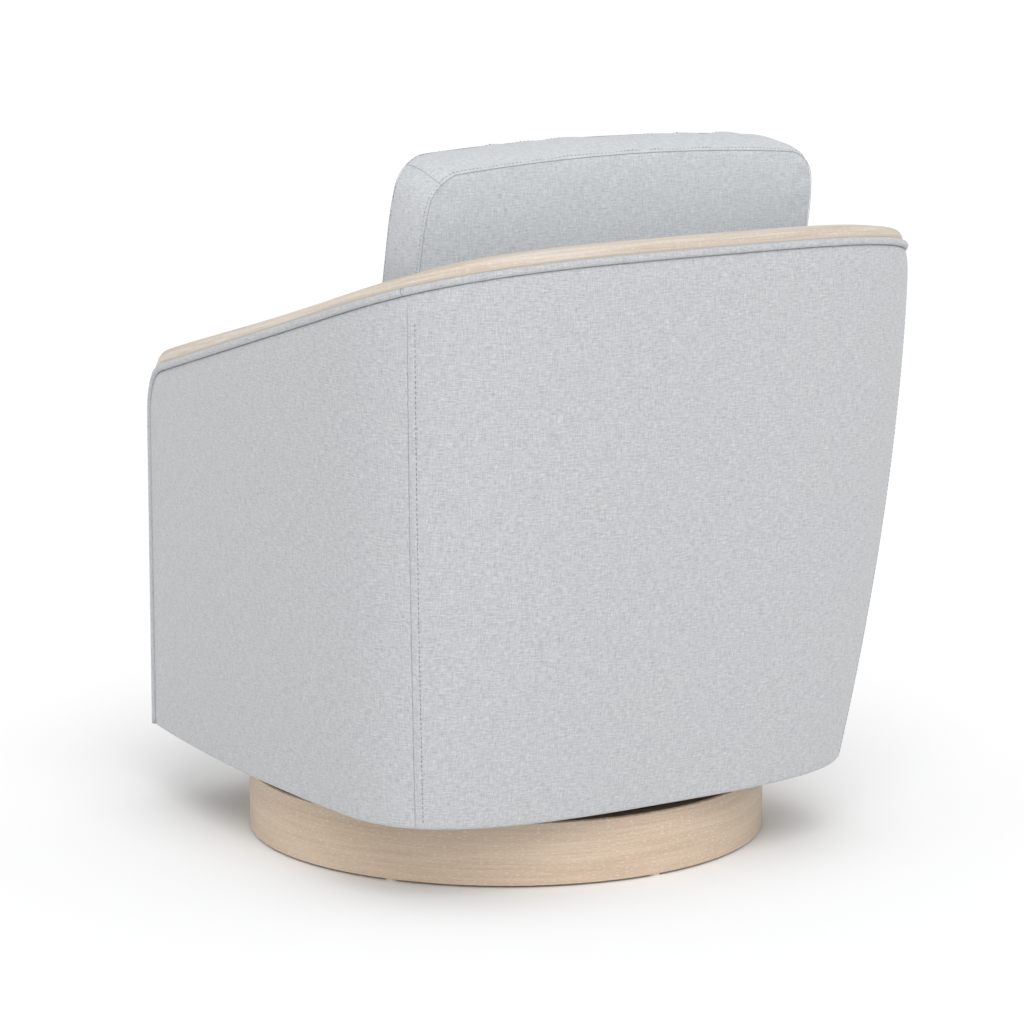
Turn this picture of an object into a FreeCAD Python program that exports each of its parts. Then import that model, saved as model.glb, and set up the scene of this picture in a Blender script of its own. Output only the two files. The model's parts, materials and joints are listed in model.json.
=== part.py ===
import FreeCAD, Part
import math
import os
import Sketcher
from FreeCAD import Rotation, Vector

# Barrel armchair that swivels on a round plinth and rocks on four coil springs.
# Millimetres. Z is up, the sitter faces minus Y and plus X is the sitter's left.
# Everything is drawn around the swivel axis, and each finished piece is then moved back by axis_y.

SIZES = {
    # Swivel axis, measured from the middle of the whole chair
    "axis_y": -21,
    # Plinth
    "plinth_radius": 305,
    "plinth_wall": 18,
    "plinth_top": 76,
    "plinth_ease": 1.5,
    "glide_radius": 8,
    "glide_tall": 3,
    "glide_count": 6,
    "board_z": 25,
    "board_thick": 15,
    "board_fit": 0.2,
    "block_wide": 50,
    "block_deep": 20,
    "block_tall": 18,
    "block_count": 6,
    # Swivel plates and their ball race
    "plate_wide": 190,
    "plate_thick": 3,
    "race_pitch": 58,
    "race_half": 9,
    "race_thick": 3,
    "groove_half": 2.8,
    "groove_deep": 1.5,
    "ball_radius": 4,
    "ball_count": 8,
    "ball_sides": 8,
    "ball_clearance": 0.3,
    "cage_half": 8,
    "cage_thick": 1.5,
    "cage_fit": 0.2,
    "round_sides": 12,
    "ring_sides": 32,
    "pin_radius": 6,
    "pin_clearance": 0.05,
    "pin_head_radius": 13,
    "pin_head_thick": 4,
    "pin_head_room": 1.3,
    "nut_radius": 11,
    "nut_thick": 8,
    "nut_gap": 0.3,
    "bolt_half": 3,
    "bolt_head_radius": 7,
    "bolt_head_thick": 4,
    "bolt_inset": 14,
    "bolt_clearance": 0.3,
    # Rocking springs, their brackets and the bump stops
    "spring_x": 95,
    "spring_y": 58,
    "spring_radius": 17,
    "spring_wire": 6,
    "spring_tall": 45,
    "spring_turns": 3.5,
    "spring_steps": 12,
    "bracket_wide": 50,
    "bracket_long": 270,
    "bracket_thick": 3,
    "bracket_bolt_y": 20,
    "seat_cup_radius": 13,
    "seat_cup_tall": 6,
    "stop_y": 112,
    "stop_radius": 10,
    "rock_limit": 5,
    "rock_rest_gap": 0.4,
    # Outline of the barrel at its lower edge and at its top edge
    "skirt_z": 87.7,
    "low_half_width": 331.2,
    "top_half_width": 371.1,
    "low_front_half": 284,
    "top_front_half": 296.5,
    "low_back_depth": 184.3,
    "top_back_depth": 253.5,
    "low_widest_y": 139.8,
    "top_widest_y": 154,
    "low_front_y": -347.2,
    "top_front_y": -326.7,
    "low_squareness": 3,
    "top_squareness": 3.28,
    "flare_power": 1.7,
    "loft_top": 770,
    "front_end_y": -400,
    "facet_turn": 7.5,
    "facets_ahead": 2,
    # Top edge of the outer panels, seen from the side
    "arm_front_z": 522.2,
    "arm_rise": 0.222,
    "arm_curve": 0.0000625,
    "corner_radius": 52,
    "profile_steps": 8,
    # Layers of the wall, from the outside in
    "panel_thick": 8,
    "frame_thick": 18,
    "arm_pad_thick": 38,
    "trim_wide": 30,
    "trim_tall": 12,
    "welt_size": 8,
    "seam_apex_y": -117.3,
    "seam_angle": 51.6,
    # Frame inside the wall
    "hoop_tall": 60,
    "top_hoop_deep": 50,
    "post_top_z": 430,
    "post_wide": 45,
    "side_post_y": -70,
    "rail_wide": 45,
    "rail_tall": 25,
    "front_board": 20,
    "front_rail": 24,
    "seat_rail_z": 262,
    "seat_rail_tall": 50,
    "seat_rail_thick": 25,
    "seat_opening_half": 215,
    "back_rail_gap": 20,
    "webbing_thick": 2,
    "webbing_wide": 50,
    "deck_thick": 16,
    "cover_thick": 1,
    "cover_gap": 2,
    # Cushions
    "soft_gap": 0.4,
    "seat_cushion_thick": 125,
    "seat_cushion_round": 22,
    "seat_cushion_overhang": 4,
    "back_lean": 4,
    "back_face_y": 212,
    "back_cushion_wide": 524,
    "back_cushion_thick": 108,
    "back_cushion_top": 826,
    "back_cushion_round": 24,
}

doc = FreeCAD.newDocument("SwivelRocker")
sheet = doc.addObject("Spreadsheet::Sheet", "Sizes")
for row, (alias, number) in enumerate(SIZES.items(), start=1):
    sheet.set(f"A{row}", alias)
    sheet.set(f"B{row}", str(number))
    sheet.setAlias(f"B{row}", alias)
doc.recompute()
finished = []


def size(alias):
    return float(sheet.get(alias))


def value(expression):
    return float(sheet.evalExpression(str(expression)))


# Heights and depths that several pieces share, each worked out from the sheet
BOARD_TOP = "(Sizes.board_z + Sizes.board_thick)"
LOWER_PLATE_TOP = f"({BOARD_TOP} + Sizes.plate_thick)"
RACE_TOP = f"({LOWER_PLATE_TOP} + Sizes.race_thick)"
BALL_RISE = "sqrt((Sizes.ball_radius + Sizes.ball_clearance) ^ 2 - Sizes.groove_half ^ 2)"
BALL_Z = f"({RACE_TOP} + {BALL_RISE})"
UPPER_RACE = f"({BALL_Z} + {BALL_RISE})"
UPPER_PLATE = f"({UPPER_RACE} + Sizes.race_thick)"
UPPER_PLATE_TOP = f"({UPPER_PLATE} + Sizes.plate_thick)"
SPRING_BASE = f"({UPPER_PLATE_TOP} + Sizes.bracket_thick)"
ROCK_AXIS = f"({SPRING_BASE} + Sizes.spring_tall / 2)"
SPRING_TOP = f"({SPRING_BASE} + Sizes.spring_tall)"
FRAME_Z = f"({SPRING_TOP} + Sizes.bracket_thick)"
SEAT_RAIL_TOP = "(Sizes.seat_rail_z + Sizes.seat_rail_tall)"
DECK_TOP = f"({SEAT_RAIL_TOP} + Sizes.webbing_thick + Sizes.deck_thick)"
FRAME_INSET = "(Sizes.panel_thick + Sizes.frame_thick)"
ARM_INSET = f"({FRAME_INSET} + Sizes.arm_pad_thick)"
TRIM_INSET = "(Sizes.panel_thick + Sizes.trim_wide)"
BACK_RAIL = "(Sizes.back_face_y + Sizes.back_rail_gap)"
CUSHION_TOP = f"({DECK_TOP} + Sizes.soft_gap + Sizes.seat_cushion_thick)"
SIDES = {"left": 1, "right": -1}
ENDS = {"front": -1, "rear": 1}

# Cutting blocks reach this far from the swivel axis, past every side of the chair
REACH = 600


# Small helpers for document objects

def bind(thing, **expressions):
    for name, expression in expressions.items():
        thing.setExpression(name.replace("__", "."), str(expression))
    return thing


def place(thing, x="0", y="0", z="0"):
    return bind(thing, Placement__Base__x=x, Placement__Base__y=y, Placement__Base__z=z)


def finish(thing, label, y="0"):
    thing.Label = label
    thing.setExpression("Placement.Base.y", f"Sizes.axis_y + {y}")
    finished.append(thing)
    return thing


def box(name, long, wide, tall, x="0", y="0", z="0"):
    block = doc.addObject("Part::Box", name)
    bind(block, Length=long, Width=wide, Height=tall)
    return place(block, x, y, z)


def many_sided(name, radius, tall, x="0", y="0", z="0", sides="Sizes.round_sides"):
    """A small round piece, drawn with few sides because it repeats."""
    block = doc.addObject("Part::Prism", name)
    bind(block, Polygon=sides, Circumradius=radius, Height=tall)
    return place(block, x, y, z)


def cylinder(name, radius, tall, x="0", y="0", z="0"):
    rod = doc.addObject("Part::Cylinder", name)
    bind(rod, Radius=radius, Height=tall)
    return place(rod, x, y, z)


def cut(name, base, tool):
    result = doc.addObject("Part::Cut", name)
    result.Base = base
    result.Tool = tool
    return result


def common(name, *shapes):
    result = doc.addObject("Part::MultiCommon", name)
    result.Shapes = list(shapes)
    return result


def fuse(name, *shapes):
    result = doc.addObject("Part::MultiFuse", name)
    result.Shapes = list(shapes)
    return result


def group(name, *shapes):
    result = doc.addObject("Part::Compound", name)
    result.Links = list(shapes)
    return result


def solid(name, shape):
    feature = doc.addObject("Part::Feature", name)
    feature.Shape = shape
    return feature


def flat_face(corners):
    return Part.Face(Part.makePolygon(corners + corners[:1]))


def stacked_solid(name, rings):
    """A solid of flat faces between rings of points, from the lowest ring to the highest."""
    faces = [flat_face(rings[0]), flat_face(rings[-1])]
    for low, high in zip(rings, rings[1:]):
        for index in range(len(low)):
            after = (index + 1) % len(low)
            faces.append(flat_face([low[index], low[after], high[after], high[index]]))
    shape = Part.makeSolid(Part.makeShell(faces))
    if shape.Volume < 0:
        shape.reverse()
    return solid(name, shape)


def new_body(name, z="0"):
    body = doc.addObject("PartDesign::Body", name)
    body.setExpression("Placement.Base.z", z)
    return body


def new_sketch(body, name, role="XY_Plane"):
    sketch = body.newObject("Sketcher::SketchObject", name)
    plane = [item for item in body.Origin.OriginFeatures if item.Role == role][0]
    sketch.AttachmentSupport = [(plane, "")]
    sketch.MapMode = "FlatFace"
    return sketch


def bind_point(sketch, index, corner, x, y):
    for kind, expression in (("DistanceX", x), ("DistanceY", y)):
        row = sketch.addConstraint(Sketcher.Constraint(kind, index, corner, value(expression)))
        sketch.setExpression(f"Constraints[{row}]", str(expression))


def draw_circle(sketch, radius, x="0", y="0"):
    centre = Vector(value(x), value(y), 0)
    index = sketch.addGeometry(Part.Circle(centre, Vector(0, 0, 1), value(radius)))
    bind_point(sketch, index, 3, x, y)
    row = sketch.addConstraint(Sketcher.Constraint("Radius", index, value(radius)))
    sketch.setExpression(f"Constraints[{row}]", str(radius))


def pad(body, sketch, name, length, backwards=False):
    feature = body.newObject("PartDesign::Pad", name)
    feature.Profile = sketch
    feature.Reversed = backwards
    feature.setExpression("Length", str(length))
    sketch.Visibility = False
    return feature


def pocket_through(body, sketch, name):
    feature = body.newObject("PartDesign::Pocket", name)
    feature.Profile = sketch
    feature.Type = "ThroughAll"
    feature.Midplane = True
    return feature


# Plinth

def make_plinth_ring():
    body = new_body("plinth_ring", "Sizes.glide_tall")
    sketch = new_sketch(body, "ring_plan")
    draw_circle(sketch, "Sizes.plinth_radius")
    draw_circle(sketch, "Sizes.plinth_radius - Sizes.plinth_wall")
    wall = pad(body, sketch, "ring_wall", "Sizes.plinth_top - Sizes.glide_tall")
    doc.recompute()
    outer = [
        f"Edge{index}"
        for index, edge in enumerate(wall.Shape.Edges, start=1)
        if isinstance(edge.Curve, Part.Circle) and edge.Curve.Radius > size("plinth_radius") - 1
        and edge.Curve.Center.z > 1
    ]
    eased = body.newObject("PartDesign::Chamfer", "eased_edges")
    eased.Base = (wall, outer)
    eased.setExpression("Size", "Sizes.plinth_ease")
    finish(body, "plinth_ring")


def make_plinth_board():
    body = new_body("plinth_board", "Sizes.board_z")
    sketch = new_sketch(body, "board_plan")
    draw_circle(sketch, "Sizes.plinth_radius - Sizes.plinth_wall - Sizes.board_fit")
    draw_circle(sketch, "Sizes.pin_head_radius + Sizes.pin_head_room")
    pad(body, sketch, "board_slab", "Sizes.board_thick")
    finish(body, "plinth_board")


def around(count, radius, lateral="0"):
    """Places spread evenly on a circle, each with its angle in degrees."""
    for index in range(int(size(count))):
        degrees = 360 * (index + 0.5) / size(count)
        along, across = f"cos({degrees} deg)", f"sin({degrees} deg)"
        x = f"({radius}) * {along} + ({lateral}) * {across}"
        y = f"({radius}) * {across} - ({lateral}) * {along}"
        yield index, degrees, x, y


def make_plinth_blocks():
    inner = "Sizes.plinth_radius - Sizes.plinth_wall"
    blocks = []
    for index, degrees, x, y in around("block_count", f"{inner} - Sizes.block_deep", "Sizes.block_wide / 2"):
        z = "Sizes.board_z - Sizes.block_tall"
        block = box(f"glue_block_{index}", "Sizes.block_deep * 2", "Sizes.block_wide", "Sizes.block_tall",
                    x, y, z)
        block.Placement.Rotation = Rotation(Vector(0, 0, 1), degrees)
        blocks.append(block)
    limit = cylinder("block_limit", inner, "Sizes.board_z")
    finish(common("plinth_blocks", fuse("glue_blocks", *blocks), limit), "plinth_blocks")


def make_floor_glides():
    glides = [
        many_sided(f"glide_{index}", "Sizes.glide_radius", "Sizes.glide_tall", x, y)
        for index, _, x, y in around("glide_count", "Sizes.plinth_radius - Sizes.plinth_wall / 2")
    ]
    finish(group("floor_glides", *glides), "floor_glides")


# Swivel: two pressed plates with a ball race between them, clamped by a pin

def plate_corners():
    reach = "(Sizes.plate_wide / 2 - Sizes.bolt_inset)"
    return [(f"{sx} * {reach}", f"{sy} * {reach}") for sx in (-1, 1) for sy in (-1, 1)]


def bracket_places(side, x):
    """Where two bolts hold one spring bracket, between its springs."""
    return [(f"{side} * {x}", f"{end} * Sizes.bracket_bolt_y") for end in ENDS.values()]


def base_bolt_places(side):
    return bracket_places(side, "(Sizes.plate_wide / 2 - Sizes.bolt_inset)")


def rail_bolt_places(side):
    return bracket_places(side, "Sizes.spring_x")


def bolt_hole(name, x, y, z):
    half = "(Sizes.bolt_half + Sizes.bolt_clearance)"
    wide = f"2 * {half}"
    return box(name, wide, wide, REACH, f"{x} - {half}", f"{y} - {half}", f"{z} - {REACH / 2}")


def ring(name, outer, inner, tall, z):
    """A flat ring with many short sides, cheaper to draw than a true circle."""
    rim = many_sided(f"{name}_rim", outer, tall, z=z, sides="Sizes.ring_sides")
    bore = many_sided(f"{name}_bore", inner, tall, z=z, sides="Sizes.ring_sides")
    return cut(name, rim, bore)


def make_plate(label, z, upward, hole_radius, bolts):
    """A square plate whose raised race has a groove for the balls; z is its face on the race side."""
    sheet_z = f"{z} - Sizes.plate_thick" if upward else z
    race_z = z if upward else f"{z} - Sizes.race_thick"
    groove_z = f"{z} + Sizes.race_thick - Sizes.groove_deep" if upward else race_z
    half = "Sizes.plate_wide / 2"
    flat = box(f"{label}_sheet", "Sizes.plate_wide", "Sizes.plate_wide", "Sizes.plate_thick",
               f"-{half}", f"-{half}", sheet_z)
    race = ring(f"{label}_race", "Sizes.race_pitch + Sizes.race_half", "Sizes.race_pitch - Sizes.race_half",
                "Sizes.race_thick", race_z)
    far, near = "Sizes.race_pitch + Sizes.groove_half", "Sizes.race_pitch - Sizes.groove_half"
    groove = ring(f"{label}_groove", far, near, "Sizes.groove_deep", groove_z)
    holes = [bolt_hole(f"{label}_hole_{index}", x, y, z) for index, (x, y) in enumerate(bolts)]
    bore_z = f"{sheet_z} - Sizes.plate_thick"
    holes.append(cylinder(f"{label}_bore", hole_radius, "3 * Sizes.plate_thick", z=bore_z))
    pressing = fuse(f"{label}_pressing", flat, race)
    finish(cut(label, cut(f"{label}_grooved", pressing, groove), group(f"{label}_holes", *holes)), label)


def ball_places():
    for index in range(int(size("ball_count"))):
        angle = f"({index} * 360 deg / Sizes.ball_count)"
        yield index, f"Sizes.race_pitch * cos({angle})", f"Sizes.race_pitch * sin({angle})"


def make_ball_cage():
    low = f"({BALL_Z} - Sizes.cage_thick / 2)"
    strip = ring("cage_strip", "Sizes.race_pitch + Sizes.cage_half", "Sizes.race_pitch - Sizes.cage_half",
                 "Sizes.cage_thick", low)
    radius = "Sizes.ball_radius + 2 * Sizes.cage_fit"
    pockets = [
        many_sided(f"ball_pocket_{index}", radius, "Sizes.cage_thick", x, y, low, sides="Sizes.ball_sides")
        for index, x, y in ball_places()
    ]
    finish(cut("ball_cage", strip, group("ball_pockets", *pockets)), "ball_cage")


def ball_shape(name):
    """A small ball with few faces, its flats just inside the true sphere."""
    radius, sides = size("ball_radius"), int(size("ball_sides"))
    turns = [2 * math.pi * index / sides for index in range(sides)]
    rings = []
    for latitude in (-67.5, -22.5, 22.5, 67.5):
        around_axis = radius * math.cos(math.radians(latitude))
        height = radius * math.sin(math.radians(latitude))
        rings.append([Vector(around_axis * math.cos(turn), around_axis * math.sin(turn), height) for turn in turns])
    return stacked_solid(name, rings)


def make_bearing_balls():
    balls = []
    for index, x, y in ball_places():
        balls.append(place(ball_shape(f"ball_{index}"), x, y, BALL_Z))
    finish(group("bearing_balls", *balls), "bearing_balls")


def make_centre_pin():
    nut_z = f"({UPPER_PLATE_TOP} + Sizes.nut_gap)"
    head_z = f"({BOARD_TOP} - Sizes.pin_head_thick)"
    head = many_sided("pin_head", "Sizes.pin_head_radius", "Sizes.pin_head_thick", z=head_z, sides="6")
    shank_long = f"{nut_z} + Sizes.nut_thick - {head_z} + Sizes.pin_radius / 2"
    shank = cylinder("pin_shank", "Sizes.pin_radius", shank_long, z=head_z)
    finish(fuse("centre_pin", head, shank), "centre_pin")
    nut = many_sided("nut_block", "Sizes.nut_radius", "Sizes.nut_thick", z=nut_z, sides="6")
    bore = cylinder("nut_bore", "Sizes.pin_radius", "Sizes.nut_thick * 3", z=nut_z)
    finish(cut("pin_nut", nut, bore), "pin_nut")


def bolt(name, x, y, head_z, grip, upward):
    """A square necked bolt: upward is 1 where its head stands above head_z and -1 where it hangs below."""
    head_low = head_z if upward > 0 else f"{head_z} - Sizes.bolt_head_thick"
    neck_low = f"{head_z} - {grip}" if upward > 0 else head_z
    radius, thick = "Sizes.bolt_head_radius", "Sizes.bolt_head_thick"
    head = many_sided(f"{name}_head", radius, thick, x, y, head_low, sides="6")
    half = "Sizes.bolt_half"
    neck = box(f"{name}_neck", f"{half} * 2", f"{half} * 2", grip, f"{x} - {half}", f"{y} - {half}", neck_low)
    return fuse(name, head, neck)


def make_bolts():
    plate_bolts = [
        bolt(f"plate_bolt_{index}", x, y, LOWER_PLATE_TOP, "Sizes.plate_thick", 1)
        for index, (x, y) in enumerate(plate_corners())
    ]
    finish(group("plate_bolts", *plate_bolts), "plate_bolts")
    bracket_grip = "(Sizes.bracket_thick + Sizes.plate_thick)"
    bracket_bolts = [
        bolt(f"bracket_bolt_{label}_{index}", x, y, SPRING_BASE, bracket_grip, 1)
        for label, side in SIDES.items()
        for index, (x, y) in enumerate(base_bolt_places(side))
    ]
    finish(group("bracket_bolts", *bracket_bolts), "bracket_bolts")
    rail_bolts = [
        bolt(f"rail_bolt_{label}_{index}", x, y, SPRING_TOP, "Sizes.bracket_thick", -1)
        for label, side in SIDES.items()
        for index, (x, y) in enumerate(rail_bolt_places(side))
    ]
    finish(group("rail_bolts", *rail_bolts), "rail_bolts")


# Rocking mechanism: two pairs of coil springs between lower and upper brackets

def make_bracket(label, side, z, upward, holes):
    """A flat spring bracket with a raised cup inside each spring; upward is 1 where the cups stand up."""
    middle = f"{side} * Sizes.spring_x"
    flat_z = f"{z} - Sizes.bracket_thick" if upward > 0 else z
    cup_z = z if upward > 0 else f"{z} - Sizes.seat_cup_tall"
    flat = box(f"{label}_strip", "Sizes.bracket_wide", "Sizes.bracket_long", "Sizes.bracket_thick",
               f"{middle} - Sizes.bracket_wide / 2", "-Sizes.bracket_long / 2", flat_z)
    cups = [
        many_sided(f"{label}_cup_{end_label}", "Sizes.seat_cup_radius", "Sizes.seat_cup_tall",
                   middle, f"{end} * Sizes.spring_y", cup_z)
        for end_label, end in ENDS.items()
    ]
    bolt_holes = [bolt_hole(f"{label}_hole_{index}", x, y, z) for index, (x, y) in enumerate(holes)]
    finish(cut(label, fuse(f"{label}_pressing", flat, *cups), group(f"{label}_holes", *bolt_holes)), label)


def spring_shape():
    """A coil of square wire with ground flat ends, its path drawn in short straight steps."""
    steps = int(size("spring_steps"))
    pitch = size("spring_tall") / size("spring_turns")
    centre = size("spring_radius") + size("spring_wire") / 2
    count = int(steps * (size("spring_turns") + 1)) + 1
    turns = [2 * math.pi * index / steps for index in range(count)]
    path = [
        Vector(centre * math.cos(turn), centre * math.sin(turn), pitch * (turn / (2 * math.pi) - 0.5))
        for turn in turns
    ]
    along = (path[1] - path[0]).normalize()
    outward = Vector(1, 0, 0) - along * along.x
    outward.normalize()
    upward = along.cross(outward)
    half = size("spring_wire") / 2
    square = ((-1, -1), (1, -1), (1, 1), (-1, 1))
    corners = [path[0] + outward * a * half + upward * b * half for a, b in square]
    section = Part.makePolygon(corners + corners[:1])
    right_corners = 1
    coil = Part.makePolygon(path).makePipeShell([section], True, False, right_corners)
    reach = centre + size("spring_wire")
    ends = Part.makeBox(2 * reach, 2 * reach, size("spring_tall"), Vector(-reach, -reach, 0))
    return coil.common(ends)


def make_springs():
    shape = spring_shape()
    for label, side in SIDES.items():
        for end_label, end in ENDS.items():
            spring = solid(f"spring_{end_label}_{label}", shape)
            place(spring, f"{side} * Sizes.spring_x", "0", SPRING_BASE)
            finish(spring, f"spring_{end_label}_{label}", f"{end} * Sizes.spring_y")


def make_bump_stops():
    """Rubber stops that the upper brackets meet at the end of the rocking range."""
    angle = "(Sizes.rock_limit * 1 deg)"
    half = "(Sizes.spring_tall / 2)"
    reach = "(Sizes.stop_y + Sizes.stop_radius)"
    tall = f"{half} + {half} / cos({angle}) - {reach} * tan({angle}) - Sizes.rock_rest_gap"
    stops = [
        many_sided(f"stop_{label}_{end_label}", "Sizes.stop_radius", tall,
                   f"{side} * Sizes.spring_x", f"{end} * Sizes.stop_y", SPRING_BASE)
        for label, side in SIDES.items()
        for end_label, end in ENDS.items()
    ]
    finish(group("bump_stops", *stops), "bump_stops")


# Barrel: one outline that flares from the lower edge to the top

def mix(low, high, blend):
    return size(low) + (size(high) - size(low)) * blend


def outline_point(along, blend):
    """One point of half the outline: along is 0 at the arm front, 1 where it is widest, 2 behind the middle."""
    half_width = mix("low_half_width", "top_half_width", blend)
    front_half = mix("low_front_half", "top_front_half", blend)
    widest_y = mix("low_widest_y", "top_widest_y", blend)
    if along <= 1:
        front_y = mix("low_front_y", "top_front_y", blend)
        bow = 1 - (1 - along) ** 2
        return front_half + (half_width - front_half) * bow, front_y + (widest_y - front_y) * along
    power = mix("low_squareness", "top_squareness", blend)
    turn = (along - 1) * math.pi / 2
    reach = (abs(math.cos(turn)) ** power + math.sin(turn) ** power) ** (-1 / power)
    depth = mix("low_back_depth", "top_back_depth", blend)
    return half_width * math.cos(turn) * reach, widest_y + depth * math.sin(turn) * reach


def top_height(y):
    run = y - size("top_front_y")
    return size("arm_front_z") + size("arm_rise") * run + size("arm_curve") * run * run


def flare(share):
    return 1 - (1 - min(max(share, 0), 1)) ** size("flare_power")


def outline_at(along, z):
    rim = top_height(outline_point(along, 1)[1])
    return outline_point(along, flare((z - size("skirt_z")) / (rim - size("skirt_z"))))


def facet_lines(z, inset):
    """The wall at height z as flat facets: for each, the way that it faces and its distance from the axis."""
    samples = [outline_at(-0.1 + 2.1 * step / 140, z) for step in range(141)]
    turn = size("facet_turn")
    lines = []
    for index in range(-int(size("facets_ahead")), round(90 / turn) + 1):
        across, back = math.cos(math.radians(index * turn)), math.sin(math.radians(index * turn))
        lines.append((across, back, max(x * across + y * back for x, y in samples) - inset))
    return lines


def meet(first, second):
    (a, b, c), (d, e, f) = first, second
    area = a * e - b * d
    return (c * e - b * f) / area, (a * f - c * d) / area


def wall_ring(z, inset):
    """The closed outline of the wall at height z, with a straight side in front of the arms."""
    lines = facet_lines(z, inset)
    front = (0, 1, size("front_end_y"))
    corners = [meet(one, other) for one, other in zip([front] + lines, lines)]
    left = [Vector(x, y, z) for x, y in corners]
    right = [Vector(-point.x, point.y, z) for point in reversed(left)]
    return left + right


def wall_solid(name, inset_expression):
    """Everything inside the wall surface at one inset. Its facets run parallel at every inset."""
    low, high = size("skirt_z"), size("loft_top")
    shares = (0, 0.16, 0.36, 0.62, 1)
    rings = [wall_ring(low + (high - low) * share, value(inset_expression)) for share in shares]
    return stacked_solid(name, rings)


def side_slab(name, offset_expression):
    """The chair's side profile, grown by an offset at the top and front and taken through the full width."""
    offset = value(offset_expression)
    low, rim = size("skirt_z"), size("arm_front_z")

    def front_point(share):
        y = mix("low_front_y", "top_front_y", flare(share)) - offset
        return Vector(-REACH, y, low + (rim - low) * share)

    start = size("top_front_y") - offset
    run = (REACH - start) / size("profile_steps")
    top_edge = []
    for step in range(int(size("profile_steps")) + 1):
        y = start + run * step
        top_edge.append(Vector(-REACH, y, top_height(y) + offset))
    corner = top_edge[0]
    foot = Vector(-REACH, top_edge[-1].y, low)
    outline = [front_point(0), front_point(0.4)] + top_edge + [foot]
    block = flat_face(outline).extrude(Vector(2 * REACH, 0, 0))
    corner_edge = [
        edge for edge in block.Edges
        if all(abs(v.Y - corner.y) < 0.01 and abs(v.Z - corner.z) < 0.01 for v in edge.Vertexes)
    ]
    radius = max(size("corner_radius") + offset, 2)
    return solid(name, block.makeFillet(radius, corner_edge))


def level_slab(name, low, high):
    return box(name, 2 * REACH, 2 * REACH, f"{high} - ({low})", -REACH, -REACH, low)


def seam_wedge():
    """The sector behind the two rear seams, which meet at the seam apex."""
    angle = math.radians(size("seam_angle"))
    apex = Vector(0, size("seam_apex_y"), 0)
    left = apex + Vector(2 * REACH * math.cos(angle), 2 * REACH * math.sin(angle), 0)
    right = Vector(-left.x, left.y, 0)
    return solid("seam_wedge", flat_face([apex, left, right]).extrude(Vector(0, 0, 2 * REACH)))


def half_space(name, side):
    return box(name, REACH, 2 * REACH, 2 * REACH, "0" if side > 0 else -REACH, -REACH, "0")


class Barrel:
    """The shared cutting solids of the wall."""

    def __init__(self):
        self.outer = wall_solid("outer_surface", "0")
        self.lining = wall_solid("frame_surface", "Sizes.panel_thick")
        self.inside = wall_solid("pad_surface", FRAME_INSET)
        self.trim_inside = wall_solid("trim_surface", TRIM_INSET)
        self.welt_inside = wall_solid("welt_surface", f"{TRIM_INSET} + Sizes.welt_size")
        self.room = wall_solid("room_surface", ARM_INSET)
        self.panel_side = side_slab("panel_side", "0")
        self.seat_side = side_slab("trim_seat_side", "Sizes.welt_size")
        self.trim_side = side_slab("trim_side", "Sizes.welt_size + Sizes.trim_tall")
        self.inner_welt_side = side_slab("inner_welt_side", "Sizes.welt_size * 2")
        self.hoop_side = side_slab("hoop_side", "Sizes.welt_size - Sizes.top_hoop_deep")
        self.board_side = side_slab("board_side", "-Sizes.front_board")
        self.rail_side = side_slab("rail_side", "-Sizes.front_board - Sizes.front_rail")
        self.half = {label: half_space(f"half_{label}", side) for label, side in SIDES.items()}
        self.rear_sector = seam_wedge()
        self.frame_layer = cut("frame_layer", self.lining, self.inside)
        self.back_block = self.make_back_block()

    def make_back_block(self):
        """Everything behind the leaning front face of the inner back."""
        block = box("back_block", 2 * REACH, REACH, 2 * REACH, -REACH)
        block.Placement.Rotation = Rotation(Vector(1, 0, 0), -size("back_lean"))
        lean = "tan(Sizes.back_lean * 1 deg)"
        block.setExpression("Placement.Base.y", f"Sizes.back_face_y - {DECK_TOP} * {lean}")
        return block


def make_outer_panels(barrel):
    layer = cut("panel_layer", common("panel_body", barrel.outer, barrel.panel_side), barrel.lining)
    finish(common("outer_panel_back", layer, barrel.rear_sector), "outer_panel_back")
    sides = cut("side_panels", layer, barrel.rear_sector)
    for label in SIDES:
        finish(common(f"outer_panel_{label}", sides, barrel.half[label]), f"outer_panel_{label}")


def make_edge_trim(barrel):
    welt_band = cut("welt_band", barrel.seat_side, barrel.panel_side)
    welt = cut("welt_ring", common("welt_body", barrel.outer, welt_band), barrel.lining)
    finish(welt, "outer_welt")
    trim_band = cut("trim_band", barrel.trim_side, barrel.seat_side)
    trim = cut("trim_ring", common("trim_body", barrel.lining, trim_band), barrel.trim_inside)
    finish(trim, "wood_trim_rail")
    inner_band = cut("inner_welt_band", barrel.inner_welt_side, barrel.seat_side)
    inner_body = common("inner_welt_body", barrel.trim_inside, inner_band)
    finish(cut("inner_welt", inner_body, barrel.welt_inside), "inner_welt")


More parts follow.
